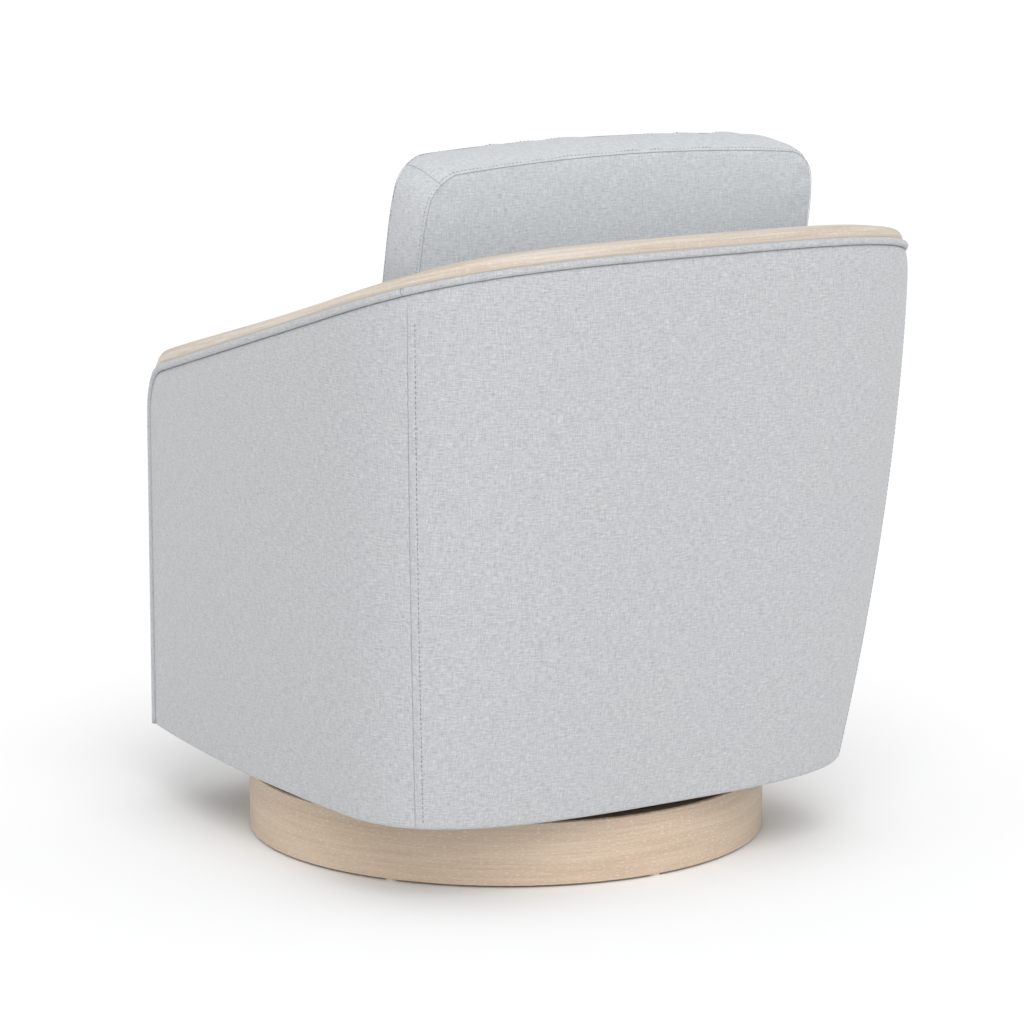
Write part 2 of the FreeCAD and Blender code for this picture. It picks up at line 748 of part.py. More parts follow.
def make_wall_frame(barrel):
    wall = common("wall_frame", barrel.frame_layer, barrel.seat_side)
    edge = cut("frame_edge", wall, barrel.hoop_side)
    above = level_slab("above_posts", "Sizes.post_top_z", "Sizes.loft_top + 50")
    below = level_slab("beside_posts", FRAME_Z, "Sizes.post_top_z")
    finish(common("top_hoop", edge, above), "top_hoop")
    for label in SIDES:
        finish(common(f"front_post_{label}", edge, below, barrel.half[label]), f"front_post_{label}")
    inner = common("frame_field", wall, barrel.hoop_side)
    hoop_level = level_slab("hoop_level", FRAME_Z, f"{FRAME_Z} + Sizes.hoop_tall")
    finish(common("bottom_hoop", inner, hoop_level), "bottom_hoop")
    post_level = level_slab("post_level", f"{FRAME_Z} + Sizes.hoop_tall", "Sizes.loft_top + 50")
    field = common("post_field", inner, post_level)
    for label, side in SIDES.items():
        start = REACH / 3 if side > 0 else -REACH
        slot = box(f"side_slot_{label}", REACH * 2 / 3, "Sizes.post_wide", 2 * REACH,
                   start, "Sizes.side_post_y")
        finish(common(f"side_post_{label}", field, slot), f"side_post_{label}")
        finish(common(f"corner_post_{label}", field, corner_slot(label, side)), f"corner_post_{label}")
    slots = [
        box(f"back_post_slot_{label}", "Sizes.post_wide", REACH, 2 * REACH,
            f"{side} * Sizes.spring_x - Sizes.post_wide / 2", REACH / 4)
        for label, side in SIDES.items()
    ]
    finish(common("back_posts", field, group("back_post_slots", *slots)), "back_posts")


def corner_slot(label, side):
    """The slot behind one rear seam, where both panels are stapled to a post."""
    angle = f"({size('seam_angle')} deg)"
    half = "Sizes.post_wide / 2"
    x = f"{half} * sin({angle})"
    y = f"Sizes.seam_apex_y - {side} * {half} * cos({angle})"
    slot = box(f"corner_slot_{label}", 2 * REACH, "Sizes.post_wide", 2 * REACH, x, y)
    degrees = size("seam_angle") if side > 0 else 180 - size("seam_angle")
    slot.Placement.Rotation = Rotation(Vector(0, 0, 1), degrees)
    return slot


def make_seat_frame(barrel):
    front_body = common("front_rail_body", barrel.inside, barrel.board_side)
    front_zone = cut("front_rail_zone", front_body, barrel.rail_side)
    base_level = level_slab("base_level", FRAME_Z, f"{FRAME_Z} + Sizes.hoop_tall")
    seat_level = level_slab("seat_level", "Sizes.seat_rail_z", SEAT_RAIL_TOP)
    finish(common("front_base_rail", front_zone, base_level), "front_base_rail")
    finish(common("seat_rail_front", front_zone, seat_level), "seat_rail_front")
    behind = common("behind_front_rail", barrel.inside, barrel.rail_side)
    for label, side in SIDES.items():
        middle = f"{side} * Sizes.spring_x - Sizes.rail_wide / 2"
        rail = box(f"rail_bar_{label}", "Sizes.rail_wide", 2 * REACH, "Sizes.rail_tall",
                   middle, -REACH, FRAME_Z)
        finish(common(f"rocker_rail_{label}", behind, rail), f"rocker_rail_{label}")
        edge = "Sizes.seat_opening_half"
        x = edge if side > 0 else f"-{edge} - Sizes.seat_rail_thick"
        bar = box(f"seat_bar_{label}", "Sizes.seat_rail_thick", f"{REACH} + {BACK_RAIL}",
                  "Sizes.seat_rail_tall", x, -REACH, "Sizes.seat_rail_z")
        finish(common(f"seat_rail_{label}", behind, bar), f"seat_rail_{label}")
    rear = box("back_rail_bar", 2 * REACH, "Sizes.seat_rail_thick", "Sizes.seat_rail_tall",
               -REACH, BACK_RAIL, "Sizes.seat_rail_z")
    finish(common("seat_rail_back", barrel.inside, rear), "seat_rail_back")


def make_webbing(barrel):
    """Elastic webbing, three bands across and four along, each half as thick as the woven pair."""
    zone = common("webbing_zone", barrel.inside, barrel.board_side)
    half = "Sizes.webbing_thick / 2"
    rear_end = f"{REACH} + {BACK_RAIL} + Sizes.seat_rail_thick"
    side_end = "(Sizes.seat_opening_half + Sizes.seat_rail_thick)"
    along = [
        box(f"long_band_{index}", "Sizes.webbing_wide", rear_end, half,
            f"({index} - 2) * 2 * Sizes.webbing_wide + Sizes.webbing_wide / 2", -REACH, SEAT_RAIL_TOP)
        for index in range(4)
    ]
    finish(common("webbing_along", fuse("long_bands", *along), zone), "webbing_along")
    across = [
        box(f"cross_band_{index}", f"2 * {side_end}", "Sizes.webbing_wide", half, f"-{side_end}",
            f"({index} - 1.5) * 3 * Sizes.webbing_wide", f"{SEAT_RAIL_TOP} + {half}")
        for index in range(3)
    ]
    finish(common("webbing_across", fuse("cross_bands", *across), zone), "webbing_across")


def make_upholstery(barrel):
    above = level_slab("above_rails", SEAT_RAIL_TOP, "Sizes.loft_top + 50")
    legs_level = level_slab("below_rails", "Sizes.skirt_z", SEAT_RAIL_TOP)
    layer = cut("arm_layer", common("arm_body", barrel.inside, barrel.seat_side), barrel.room)
    upper = cut("arm_upper", common("arm_above", layer, above), barrel.back_block)
    leg_zone = cut("arm_leg_zone", layer, barrel.board_side)
    legs = common("arm_legs", leg_zone, legs_level)
    for label in SIDES:
        half = barrel.half[label]
        top = common(f"arm_top_{label}", upper, half)
        leg = common(f"arm_leg_{label}", legs, half)
        finish(fuse(f"inner_arm_{label}", top, leg), f"inner_arm_{label}")
    webbing_top = f"{SEAT_RAIL_TOP} + Sizes.webbing_thick"
    above_webbing = level_slab("above_webbing", webbing_top, "Sizes.loft_top + 50")
    back = common("inner_back_body", barrel.inside, barrel.seat_side, above_webbing, barrel.back_block)
    finish(back, "inner_back")
    border_level = level_slab("border_level", "Sizes.skirt_z", DECK_TOP)
    border = common("border_body", barrel.room, barrel.panel_side, border_level)
    finish(cut("front_border", border, barrel.board_side), "front_border")
    deck_level = level_slab("deck_level", webbing_top, DECK_TOP)
    deck = common("deck_body", barrel.room, barrel.board_side, deck_level)
    finish(cut("seat_deck", deck, barrel.back_block), "seat_deck")


def make_dust_cover(barrel):
    """Thin cloth stapled under the frame, cut out round the two brackets."""
    level = level_slab("cover_level", f"{FRAME_Z} - Sizes.cover_thick", FRAME_Z)
    sheet_body = common("cover_body", barrel.lining, barrel.board_side, level)
    slots = [
        box(f"cover_slot_{label}", "Sizes.bracket_wide + 2 * Sizes.cover_gap",
            "Sizes.bracket_long + 2 * Sizes.cover_gap", REACH,
            f"{side} * Sizes.spring_x - Sizes.bracket_wide / 2 - Sizes.cover_gap",
            "-Sizes.bracket_long / 2 - Sizes.cover_gap")
        for label, side in SIDES.items()
    ]
    finish(cut("dust_cover", sheet_body, group("cover_slots", *slots)), "dust_cover")


def make_seat_cushion():
    """A box cushion that follows the arms, with its two front corners rounded."""
    low = value(f"{DECK_TOP} + Sizes.soft_gap")
    prism = flat_face(wall_ring(low, value(ARM_INSET) + size("soft_gap"))).extrude(
        Vector(0, 0, size("seat_cushion_thick")))
    front = size("top_front_y") - size("seat_cushion_overhang")
    rear = size("back_face_y") - size("soft_gap")
    room = Part.makeBox(2 * REACH, rear - front, 2 * REACH, Vector(-REACH, front, 0))
    block = prism.common(room)
    corners = [
        edge for edge in block.Edges
        if abs(edge.tangentAt(edge.FirstParameter).z) > 0.99 and abs(edge.Vertexes[0].Y - front) < 0.01
    ]
    finish(solid("seat_cushion", block.makeFillet(size("seat_cushion_round"), corners)), "seat_cushion")


def make_back_cushion():
    """A box cushion that leans on the inner back and stands on the seat cushion."""
    lean = "(Sizes.back_lean * 1 deg)"
    foot = f"({CUSHION_TOP} + Sizes.soft_gap + Sizes.back_cushion_thick * sin({lean}))"
    tall = f"(Sizes.back_cushion_top - {foot}) / cos({lean})"
    block = box("back_cushion_block", "Sizes.back_cushion_wide", "Sizes.back_cushion_thick", tall,
                "-Sizes.back_cushion_wide / 2", "-Sizes.back_cushion_thick")
    doc.recompute()
    radius = size("back_cushion_round")
    rounded = doc.addObject("Part::Fillet", "back_cushion")
    rounded.Base = block
    rounded.Edges = [
        (index, radius, radius)
        for index, edge in enumerate(block.Shape.Edges, start=1)
        if abs(edge.tangentAt(edge.FirstParameter).y) > 0.99
    ]
    rounded.Placement.Rotation = Rotation(Vector(1, 0, 0), -size("back_lean"))
    place(rounded, z=foot)
    y = f"Sizes.back_face_y + ({foot} - {DECK_TOP}) * tan({lean}) - Sizes.soft_gap"
    finish(rounded, "back_cushion", y)


def build():
    make_plinth_ring()
    make_plinth_board()
    make_plinth_blocks()
    make_floor_glides()
    base_bolts = base_bolt_places(1) + base_bolt_places(-1)
    pin_hole = "Sizes.pin_radius + Sizes.pin_clearance"
    make_plate("swivel_lower_plate", LOWER_PLATE_TOP, True, "Sizes.pin_radius", plate_corners())
    make_plate("swivel_upper_plate", UPPER_PLATE, False, pin_hole, base_bolts)
    make_ball_cage()
    make_bearing_balls()
    make_centre_pin()
    for label, side in SIDES.items():
        make_bracket(f"spring_base_{label}", side, SPRING_BASE, 1, base_bolt_places(side))
        make_bracket(f"rocker_bracket_{label}", side, SPRING_TOP, -1, rail_bolt_places(side))
    make_springs()
    make_bump_stops()
    make_bolts()
    barrel = Barrel()
    make_outer_panels(barrel)
    make_edge_trim(barrel)
    make_wall_frame(barrel)
    make_seat_frame(barrel)
    make_webbing(barrel)
    make_upholstery(barrel)
    make_dust_cover(barrel)
    make_seat_cushion()
    make_back_cushion()


def write_parts():
    doc.recompute()
    os.makedirs("parts", exist_ok=True)
    broken = []
    for thing in finished:
        faults = [word for word in ("Invalid", "Error") if word in thing.State]
        if faults or thing.Shape.isNull() or not thing.Shape.isValid() or not thing.Shape.Solids:
            broken.append(thing.Label)
        else:
            thing.Shape.exportStep(f"parts/{thing.Label}.step")
    if broken:
        raise RuntimeError("did not build: " + ", ".join(broken))


build()
write_parts()
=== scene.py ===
import json
from functools import lru_cache
from math import atan, atan2, copysign, cos, hypot, pi, radians, sin, sqrt, tan
import bpy
from mathutils import Matrix, Vector
from mathutils.kdtree import KDTree
from mathutils.noise import noise


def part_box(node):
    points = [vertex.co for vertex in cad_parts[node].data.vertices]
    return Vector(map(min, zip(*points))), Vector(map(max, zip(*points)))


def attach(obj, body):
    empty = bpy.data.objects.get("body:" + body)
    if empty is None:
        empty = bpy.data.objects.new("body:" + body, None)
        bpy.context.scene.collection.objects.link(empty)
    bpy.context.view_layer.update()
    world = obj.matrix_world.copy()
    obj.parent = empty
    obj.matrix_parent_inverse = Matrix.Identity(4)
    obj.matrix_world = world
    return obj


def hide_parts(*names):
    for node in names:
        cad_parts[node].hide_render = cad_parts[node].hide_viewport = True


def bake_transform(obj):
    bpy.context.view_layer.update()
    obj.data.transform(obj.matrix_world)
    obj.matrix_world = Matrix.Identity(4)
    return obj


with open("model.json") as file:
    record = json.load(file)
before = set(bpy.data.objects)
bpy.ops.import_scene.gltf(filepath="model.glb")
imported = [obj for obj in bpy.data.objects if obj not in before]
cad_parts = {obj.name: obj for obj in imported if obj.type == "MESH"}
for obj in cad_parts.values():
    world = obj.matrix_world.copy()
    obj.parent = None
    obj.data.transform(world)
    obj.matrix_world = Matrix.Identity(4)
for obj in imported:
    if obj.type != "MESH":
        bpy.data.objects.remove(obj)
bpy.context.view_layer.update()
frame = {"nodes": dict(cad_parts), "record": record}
scene = bpy.context.scene

# All shape formulas work in millimetres from the swivel axis; M and AXIS_Y bring them to the frame.
M = 0.001
AXIS_Y = -21.0
SKIRT_Z = 87.7
LOW = dict(half=331.2, front_half=284.0, depth=184.3, widest=139.8, front=-347.2, square=3.0)
TOP = dict(half=371.1, front_half=296.5, depth=253.5, widest=154.0, front=-326.7, square=3.28)
RIM_Z, RIM_RISE, RIM_CURVE = 522.2, 0.222, 0.0000625
CORNER = 66.0
PANEL, FRAME_IN, TRIM_IN, ARM_IN = 8.0, 26.0, 38.0, 64.0
WELT, TRIM = 8.0, 12.0
SEAM_APEX, SEAM_ANGLE = -117.3, radians(51.6)
DECK_Z = 330.0
BACK_FACE, BACK_LEAN = 212.0, radians(4.0)
PLINTH_RADIUS = 305.0


# Small maths helpers

def mix(low, high, share):
    return low + (high - low) * share


def clamp(value, low=0.0, high=1.0):
    return min(max(value, low), high)


def quarter(run, depth, reach):
    """How far an edge rolls in: depth at the edge, nothing from reach onwards."""
    share = 1 - clamp(run / reach)
    return depth * (1 - sqrt(1 - share * share))


def spread(stops):
    """Numbers from (start, end, count) runs, joined without repeats."""
    values = []
    for start, end, count in stops:
        first = 0 if not values else 1
        values += [mix(start, end, index / count) for index in range(first, count + 1)]
    return values


def run_lengths(points):
    """The distance along a line of points, at each of them."""
    runs = [0.0]
    for before, after in zip(points, points[1:]):
        runs.append(runs[-1] + (after - before).length)
    return runs


def last_below(low, high, below):
    """The last value between low and high for which below still holds."""
    for _ in range(40):
        middle = (low + high) / 2
        if below(middle):
            low = middle
        else:
            high = middle
    return low


def heading(points, index):
    """The direction of a line of points at one of them."""
    return (points[min(index + 1, len(points) - 1)] - points[max(index - 1, 0)]).normalized()


# The barrel wall

FLARE_POWER, OUTLINE_STEP = 1.7, 0.004


def outline_point(along, blend):
    """A point of the left half outline: 0 at the arm front, 1 at the widest place, 2 at the back's middle."""
    half, front_half, depth, widest, front, power = (mix(LOW[key], TOP[key], blend) for key in LOW)
    if along <= 1:
        bow = 1 - (1 - along) ** 2
        return front_half + (half - front_half) * bow, front + (widest - front) * along
    turn = (along - 1) * pi / 2
    reach = (abs(cos(turn)) ** power + sin(turn) ** power) ** (-1 / power)
    return half * cos(turn) * reach, widest + depth * sin(turn) * reach


def rim_height(y):
    run = y - TOP["front"]
    return RIM_Z + RIM_RISE * run + RIM_CURVE * run * run


CORNER_TURN = pi / 2 - atan(RIM_RISE)
CORNER_RUN = CORNER * tan(CORNER_TURN / 2)
CORNER_Y, CORNER_Z = TOP["front"] + CORNER, RIM_Z - CORNER_RUN


def rim_slope(y):
    return hypot(1, RIM_RISE + 2 * RIM_CURVE * (y - TOP["front"]))


def edge_height(y, extra=0.0):
    """Top edge of the panels grown by extra, with the rounded corner over each arm front."""
    radius = CORNER + extra
    if y < CORNER_Y - radius * cos(CORNER_TURN):
        return CORNER_Z + sqrt(max(radius ** 2 - (y - CORNER_Y) ** 2, 0))
    return rim_height(y) + extra * rim_slope(y)


def rim_at(along):
    return rim_height(outline_point(along, 1)[1])


def blend_at(along, z):
    return 1 - (1 - clamp((z - SKIRT_Z) / (rim_at(along) - SKIRT_Z))) ** FLARE_POWER


def wall(place, z, inset=0.0):
    """A point of the wall: place runs from 0 at the left arm front, over 2 behind, to 4 at the right arm front."""
    along = place if place <= 2 else 4 - place
    side = 1 if place <= 2 else -1
    blend = blend_at(along, z)
    x, y = outline_point(along, blend)
    if inset:
        ax, ay = outline_point(along - OUTLINE_STEP, blend)
        bx, by = outline_point(min(along + OUTLINE_STEP, 2), blend)
        length = hypot(bx - ax, by - ay)
        x -= (by - ay) / length * inset
        y += (bx - ax) / length * inset
    return Vector((side * x, y, z))


@lru_cache(maxsize=None)
def place_at_y(y):
    """The place on the left side whose top edge lies at y."""
    if y <= TOP["widest"]:
        return (y - TOP["front"]) / (TOP["widest"] - TOP["front"])
    return last_below(1.0, 2.0, lambda place: outline_point(place, 1)[1] < y)


@lru_cache(maxsize=None)
def seam_place(z):
    """Where the rear left seam crosses the wall at height z."""
    def before_seam(place):
        point = wall(place, z)
        return atan2(point.y - SEAM_APEX, point.x) < SEAM_ANGLE

    return last_below(0.6, 1.9, before_seam)


def edge_distance(point, extra=0.0):
    """How far a wall point lies from the edge of the panels, grown outwards by extra."""
    y, z = point.y, point.z
    if y < CORNER_Y and z > CORNER_Z:
        return CORNER + extra - hypot(y - CORNER_Y, z - CORNER_Z)
    return min(y - wall(0, z).y + extra, (rim_height(y) - z) / rim_slope(y) + extra)


# Mesh helpers

def new_object(name, mesh):
    thing = bpy.data.objects.new(name, mesh)
    scene.collection.objects.link(thing)
    return thing


def mesh_object(name, points, faces, material, uvs=None):
    mesh = bpy.data.meshes.new(name)
    mesh.from_pydata([(x * M, (y + AXIS_Y) * M, z * M) for x, y, z in points], [], faces)
    mesh.update()
    if uvs:
        layer = mesh.uv_layers.new(name="cloth")
        for loop in mesh.loops:
            layer.data[loop.index].uv = uvs[loop.vertex_index]
    for polygon in mesh.polygons:
        polygon.use_smooth = True
    mesh.materials.append(material)
    return new_object(name, mesh)


def outward(thing):
    """Turns the faces outwards where the mesh was wound the other way."""
    mesh = thing.data
    volume = 0.0
    for polygon in mesh.polygons:
        corners = [mesh.vertices[index].co for index in polygon.vertices]
        for index in range(1, len(corners) - 1):
            volume += corners[0].dot(corners[index].cross(corners[index + 1]))
    if volume < 0:
        mesh.flip_normals()
    return thing


def finish_piece(thing, *nodes, slot="fabric", fill=None):
    """Ties a piece of the upper part to the seat; nodes are the solids that it stands for."""
    outward(thing)
    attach(thing, "seat")
    if nodes:
        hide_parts(*nodes)
    return thing


def boundary(rows, columns):
    """The row and column of each point around a grid."""
    loop = [(0, c) for c in range(columns)]
    loop += [(r, columns - 1) for r in range(1, rows)]
    loop += [(rows - 1, c) for c in range(columns - 2, -1, -1)]
    loop += [(r, 0) for r in range(rows - 2, 0, -1)]
    return loop


def layer_faces(rows, columns, turned=False):
    """Faces of two grids of points, one after the other, that look away from each other."""
    faces = []
    for r in range(rows - 1):
        for c in range(columns - 1):
            a = r * columns + c
            near, far = (a, a + 1, a + columns + 1, a + columns), (a, a + columns, a + columns + 1, a + 1)
            if turned:
                near, far = far, near
            faces += [near, tuple(index + rows * columns for index in far)]
    return faces


def closed_sheet(name, grid, material):
    """A thin closed solid from rows of (front point, back point, cloth coordinate)."""
    rows, columns = len(grid), len(grid[0])
    cells = [cell for row in grid for cell in row]
    total = rows * columns
    faces = layer_faces(rows, columns)
    rim = [r * columns + c for c, r in boundary(columns, rows)]
    for a, b in zip(rim, rim[1:] + rim[:1]):
        faces.append((a, b, b + total, a + total))
    points = [cell[0] for cell in cells] + [cell[1] for cell in cells]
    return mesh_object(name, points, faces, material, [cell[2] for cell in cells] * 2)


def skin(first, count, rings):
    """Faces through rings of count points each, which follow each other from point first."""
    return [(ring + index, ring + (index + 1) % count, ring + count + (index + 1) % count, ring + count + index)
            for ring in range(first, first + (rings - 1) * count, count) for index in range(count)]


def swept(name, path, section, material):
    """A solid swept along a path of (point, across, up) frames; section is a closed list of (across, up)."""
    runs = run_lengths([point for point, _, _ in path])
    girths = run_lengths([Vector(corner) for corner in section])
    points, uvs = [], []
    for (point, across, up), run in zip(path, runs):
        for (a, b), girth in zip(section, girths):
            points.append(point + across * a + up * b)
            uvs.append((run * M, girth * M))
    count = len(section)
    faces = skin(0, count, len(path))
    faces += [tuple(range(count - 1, -1, -1)), tuple(range(len(points) - count, len(points)))]
    return mesh_object(name, points, faces, material, uvs)


def add_tube(points, faces, rings):
    """Adds a six-sided tube with flat ends through rings of (centre, direction, radius)."""
    first = len(points)
    for centre, along, radius in rings:
        side = along.orthogonal().normalized()
        other = along.cross(side)
        for step in range(6):
            turn = pi * step / 3
            points.append(centre + (side * cos(turn) + other * sin(turn)) * radius)
    faces += skin(first, 6, len(rings))
    faces += [tuple(range(first + 5, first - 1, -1)), tuple(range(len(points) - 6, len(points)))]


def soft_circle(radius, count, across=0.0, up=0.0):
    turns = [2 * pi * index / count for index in range(count)]
    return [(across + radius * cos(turn), up + radius * sin(turn)) for turn in turns]


def rounded_box(wide_from, wide_to, low, high, radii, steps=5):
    """A closed section with its own radius at each corner: from-low, to-low, to-high, from-high."""
    corners = [(wide_from, low, 180), (wide_to, low, 270), (wide_to, high, 0), (wide_from, high, 90)]
    section = []
    for (x, y, start), radius in zip(corners, radii):
        cx = x + radius if x == wide_from else x - radius
        cy = y + radius if y == low else y - radius
        for index in range(steps + 1):
            turn = radians(start + 90 * index / steps)
            section.append((cx + radius * cos(turn), cy + radius * sin(turn)))
    return section


# Materials

class Nodes:
    """Builds one material's nodes with short calls."""

    def __init__(self, name):
        self.material = bpy.data.materials.new(name)
        self.material.use_nodes = True
        self.tree = self.material.node_tree
        self.shader = self.tree.nodes["Principled BSDF"]

    def add(self, kind, **values):
        node = self.tree.nodes.new("ShaderNode" + kind)
        for key, value in values.items():
            setattr(node, key, value)
        return node

    def feed(self, socket, value):
        """Links a node's output to the socket, or sets a number, a scale or a colour on it."""
        if isinstance(value, bpy.types.NodeSocket):
            self.tree.links.new(value, socket)
        else:
            socket.default_value = (*value, 1) if socket.type == "RGBA" else value

    def build(self, kind, inputs, output=0, **values):
        """Adds a node, feeds its inputs and gives one of its outputs."""
        node = self.add(kind, **values)
        for name, value in inputs.items():
            self.feed(node.inputs[name], value)
        return node.outputs[output]

    def place(self):
        return self.build("TexCoord", {}, "Object")

    def cloth(self):
        return self.build("UVMap", {}, "UV", uv_map="cloth")

    def split(self, vector):
        return self.build("SeparateXYZ", {0: vector}, slice(None))

    def joined(self, first, second):
        return self.build("CombineXYZ", {0: first, 1: second})

    def math(self, operation, *values):
        return self.build("Math", dict(enumerate(values)), operation=operation)

    def scaled(self, value, gain, start):
        return self.math("MULTIPLY_ADD", value, gain, start)

    def weighed(self, *pairs):
        """The sum of some values, each times its weight."""
        total = None
        for value, weight in pairs:
            part = self.math("MULTIPLY", value, weight)
            total = part if total is None else self.math("ADD", total, part)
        return total

    def above(self, value, start, gain, limit):
        """Grows from nothing where value passes start, up to a limit."""
        over = self.math("MAXIMUM", self.math("SUBTRACT", value, start), 0.0)
        return self.math("MINIMUM", self.math("MULTIPLY", over, gain), limit)

    def noise(self, vector, scale, detail=2.0, rough=0.5, distortion=0.0):
        """Noise at one scale, or at a scale for each axis."""
        if isinstance(scale, tuple):
            vector = self.build("Mapping", {"Vector": vector, "Scale": scale}, "Vector")
            scale = 1.0
        inputs = {"Vector": vector, "Scale": scale, "Detail": detail, "Roughness": rough, "Distortion": distortion}
        return self.build("TexNoise", inputs, "Fac")

    def ramp(self, factor, *stops):
        node = self.add("ValToRGB")
        ramp = node.color_ramp
        while len(ramp.elements) < len(stops):
            ramp.elements.new(0.5)
        for element, (position, colour) in zip(ramp.elements, stops):
            element.position = position
            element.color = (*colour, 1)
        self.feed(node.inputs["Fac"], factor)
        return node.outputs["Color"]

    def blend(self, factor, first, second, mode="MIX"):
        inputs = {0: factor, 6: first, 7: second}
        return self.build("Mix", inputs, 2, data_type="RGBA", blend_type=mode)

    def bump(self, height, strength, distance):
        inputs = {"Height": height, "Strength": strength, "Distance": distance}
        return self.build("Bump", inputs, "Normal")

    def finish(self, colour, rough, normal=None, **constants):
        """Feeds the shader and gives the material; a constant's name has _ for each space."""
        for name, value in dict(Base_Color=colour, Roughness=rough, Normal=normal, **constants).items():
            if value is not None:
                self.feed(self.shader.inputs[name.replace("_", " ")], value)
        return self.material


def linear(red, green, blue):
    """A display colour, 0 to 255, as a linear colour."""
    values = []
    for value in (red, green, blue):
        value /= 255
        values.append(value / 12.92 if value <= 0.04045 else ((value + 0.055) / 1.055) ** 2.4)
    return tuple(values)


def weave(nodes, u, v, pitch):
    """Height of a plain weave with threads at one pitch: 0 between threads, 1 on top."""
    across, along = nodes.math("DIVIDE", u, pitch), nodes.math("DIVIDE", v, pitch)
    warp, weft = (nodes.math("ABSOLUTE", nodes.math("SINE", nodes.math("MULTIPLY", value, pi)))
                  for value in (across, along))
    cell = nodes.math("ADD", nodes.math("FLOOR", across), nodes.math("FLOOR", along))
    over = nodes.math("PINGPONG", cell, 1.0)
    low, high = (nodes.math("MULTIPLY", first, nodes.scaled(second, 0.4, 0.6))
                 for first, second in ((warp, weft), (weft, warp)))
    return nodes.build("Mix", {0: over, 2: low, 3: high}, data_type="FLOAT")


def box_projection(nodes):
    """Cloth coordinates without an unwrap: the two axes that lie nearest in the surface."""
    x, y, z = nodes.split(nodes.place())
    facing = nodes.build("Attribute", {}, "Vector", attribute_name="facing", attribute_type="GEOMETRY")
    _, faces_y, faces_z = nodes.split(facing)
    picked = nodes.joined(y, z)
    for share, other in ((faces_y, nodes.joined(x, z)), (faces_z, nodes.joined(x, y))):
        picked = nodes.build("Mix", {0: share, 4: picked, 5: other}, 1, data_type="VECTOR")
    return picked


def ring_projection(nodes):
    """Wood coordinates of the bent plinth: around the swivel axis, and up or outwards."""
    x, place_y, z = nodes.split(nodes.place())
    y = nodes.math("SUBTRACT", place_y, AXIS_Y * M)
    reach = nodes.math("SQRT", nodes.math("ADD", nodes.math("MULTIPLY", y, y), nodes.math("MULTIPLY", x, x)))
    around = nodes.math("MULTIPLY", nodes.math("ARCTAN2", y, x), PLINTH_RADIUS * M)
    return nodes.joined(around, nodes.math("ADD", z, reach))


# Scale along and across the cloth of each kind of streak, with its share of the tone
STREAKS = (((130, 640), 0.26), ((640, 120), 0.20), ((48, 900), 0.17), ((900, 44), 0.15), ((760, 760), 0.22))
LINEN_PITCH, WEBBING_PITCH = 0.00075, 0.0018


def linen(name, shades, projected=False):
    """Slubby linen weave: streaks both ways over a fine plain weave."""
    nodes = Nodes(name)
    vector = box_projection(nodes) if projected else nodes.cloth()
    shift = nodes.scaled(nodes.noise(vector, 90.0, 1.0), 0.0012, -0.0006)
    u, v, _ = nodes.split(vector)
    fine = weave(nodes, nodes.math("ADD", u, shift), nodes.math("ADD", v, shift), LINEN_PITCH)
    tone = nodes.weighed(*((nodes.noise(vector, (*scale, 1), 1.5, 0.55), share) for scale, share in STREAKS))
    low, middle, high = shades
    body = nodes.ramp(tone, (0.37, low), (0.50, middle), (0.63, high))
    threads = nodes.ramp(fine, (0.0, linear(150, 154, 160)), (1.0, linear(228, 230, 232)))
    warmer = tuple(value * shade for value, shade in zip(middle, (1.02, 1.0, 0.97)))
    cloud = nodes.ramp(nodes.noise(vector, 7.0, 3.0, 0.55), (0.35, middle), (0.7, warmer))
    colour = nodes.blend(0.15, nodes.blend(0.15, body, threads, "OVERLAY"), cloud)
    relief = nodes.weighed((fine, 0.5), (tone, 1.6))
    return nodes.finish(colour, nodes.scaled(tone, -0.15, 0.98), nodes.bump(relief, 0.45, 0.0005),
                        Specular_IOR_Level=0.25, Sheen_Weight=0.25, Sheen_Roughness=0.5)


def mark_facing(thing):
    """Stores which axis each face looks along, for the cloth coordinates."""
    mesh = thing.data
    values = mesh.attributes.new("facing", "FLOAT_VECTOR", "FACE")
    for polygon, value in zip(mesh.polygons, values.data):
        sizes = [abs(component) for component in polygon.normal]
        axis = sizes.index(max(sizes))
        value.vector = [1.0 if index == axis else 0.0 for index in range(3)]


def oak(name, shades, ring=False):
    """Limed oak: fine grain along the piece, with pale filled pores."""
    nodes = Nodes(name)
    vector = ring_projection(nodes) if ring else nodes.cloth()
    grain = nodes.noise(vector, (9, 360, 1), 5.0, 0.66, 0.4)
    figure = nodes.noise(vector, (2.2, 40, 1), 3.0, 0.5, 0.8)
    flecks = nodes.noise(vector, (170, 1150, 1), 1.0, 0.5)
    pores = nodes.noise(vector, (60, 1300, 1), 2.0, 0.6)
    low, middle, high = shades
    base = nodes.ramp(grain, (0.32, low), (0.5, middle), (0.70, high))
    toned = nodes.blend(0.4, base, nodes.ramp(figure, (0.35, low), (0.65, high)))
    limed = nodes.blend(nodes.above(flecks, 0.59, 6.5, 0.6), toned, linear(228, 219, 208))
    colour = nodes.blend(nodes.above(pores, 0.64, 5.0, 0.3), limed, linear(160, 136, 114))
    relief = nodes.weighed((grain, 0.6), (pores, -0.7))
    return nodes.finish(colour, nodes.scaled(grain, 0.25, 0.42), nodes.bump(relief, 0.25, 0.0004),
                        Coat_Weight=0.12, Coat_Roughness=0.4)


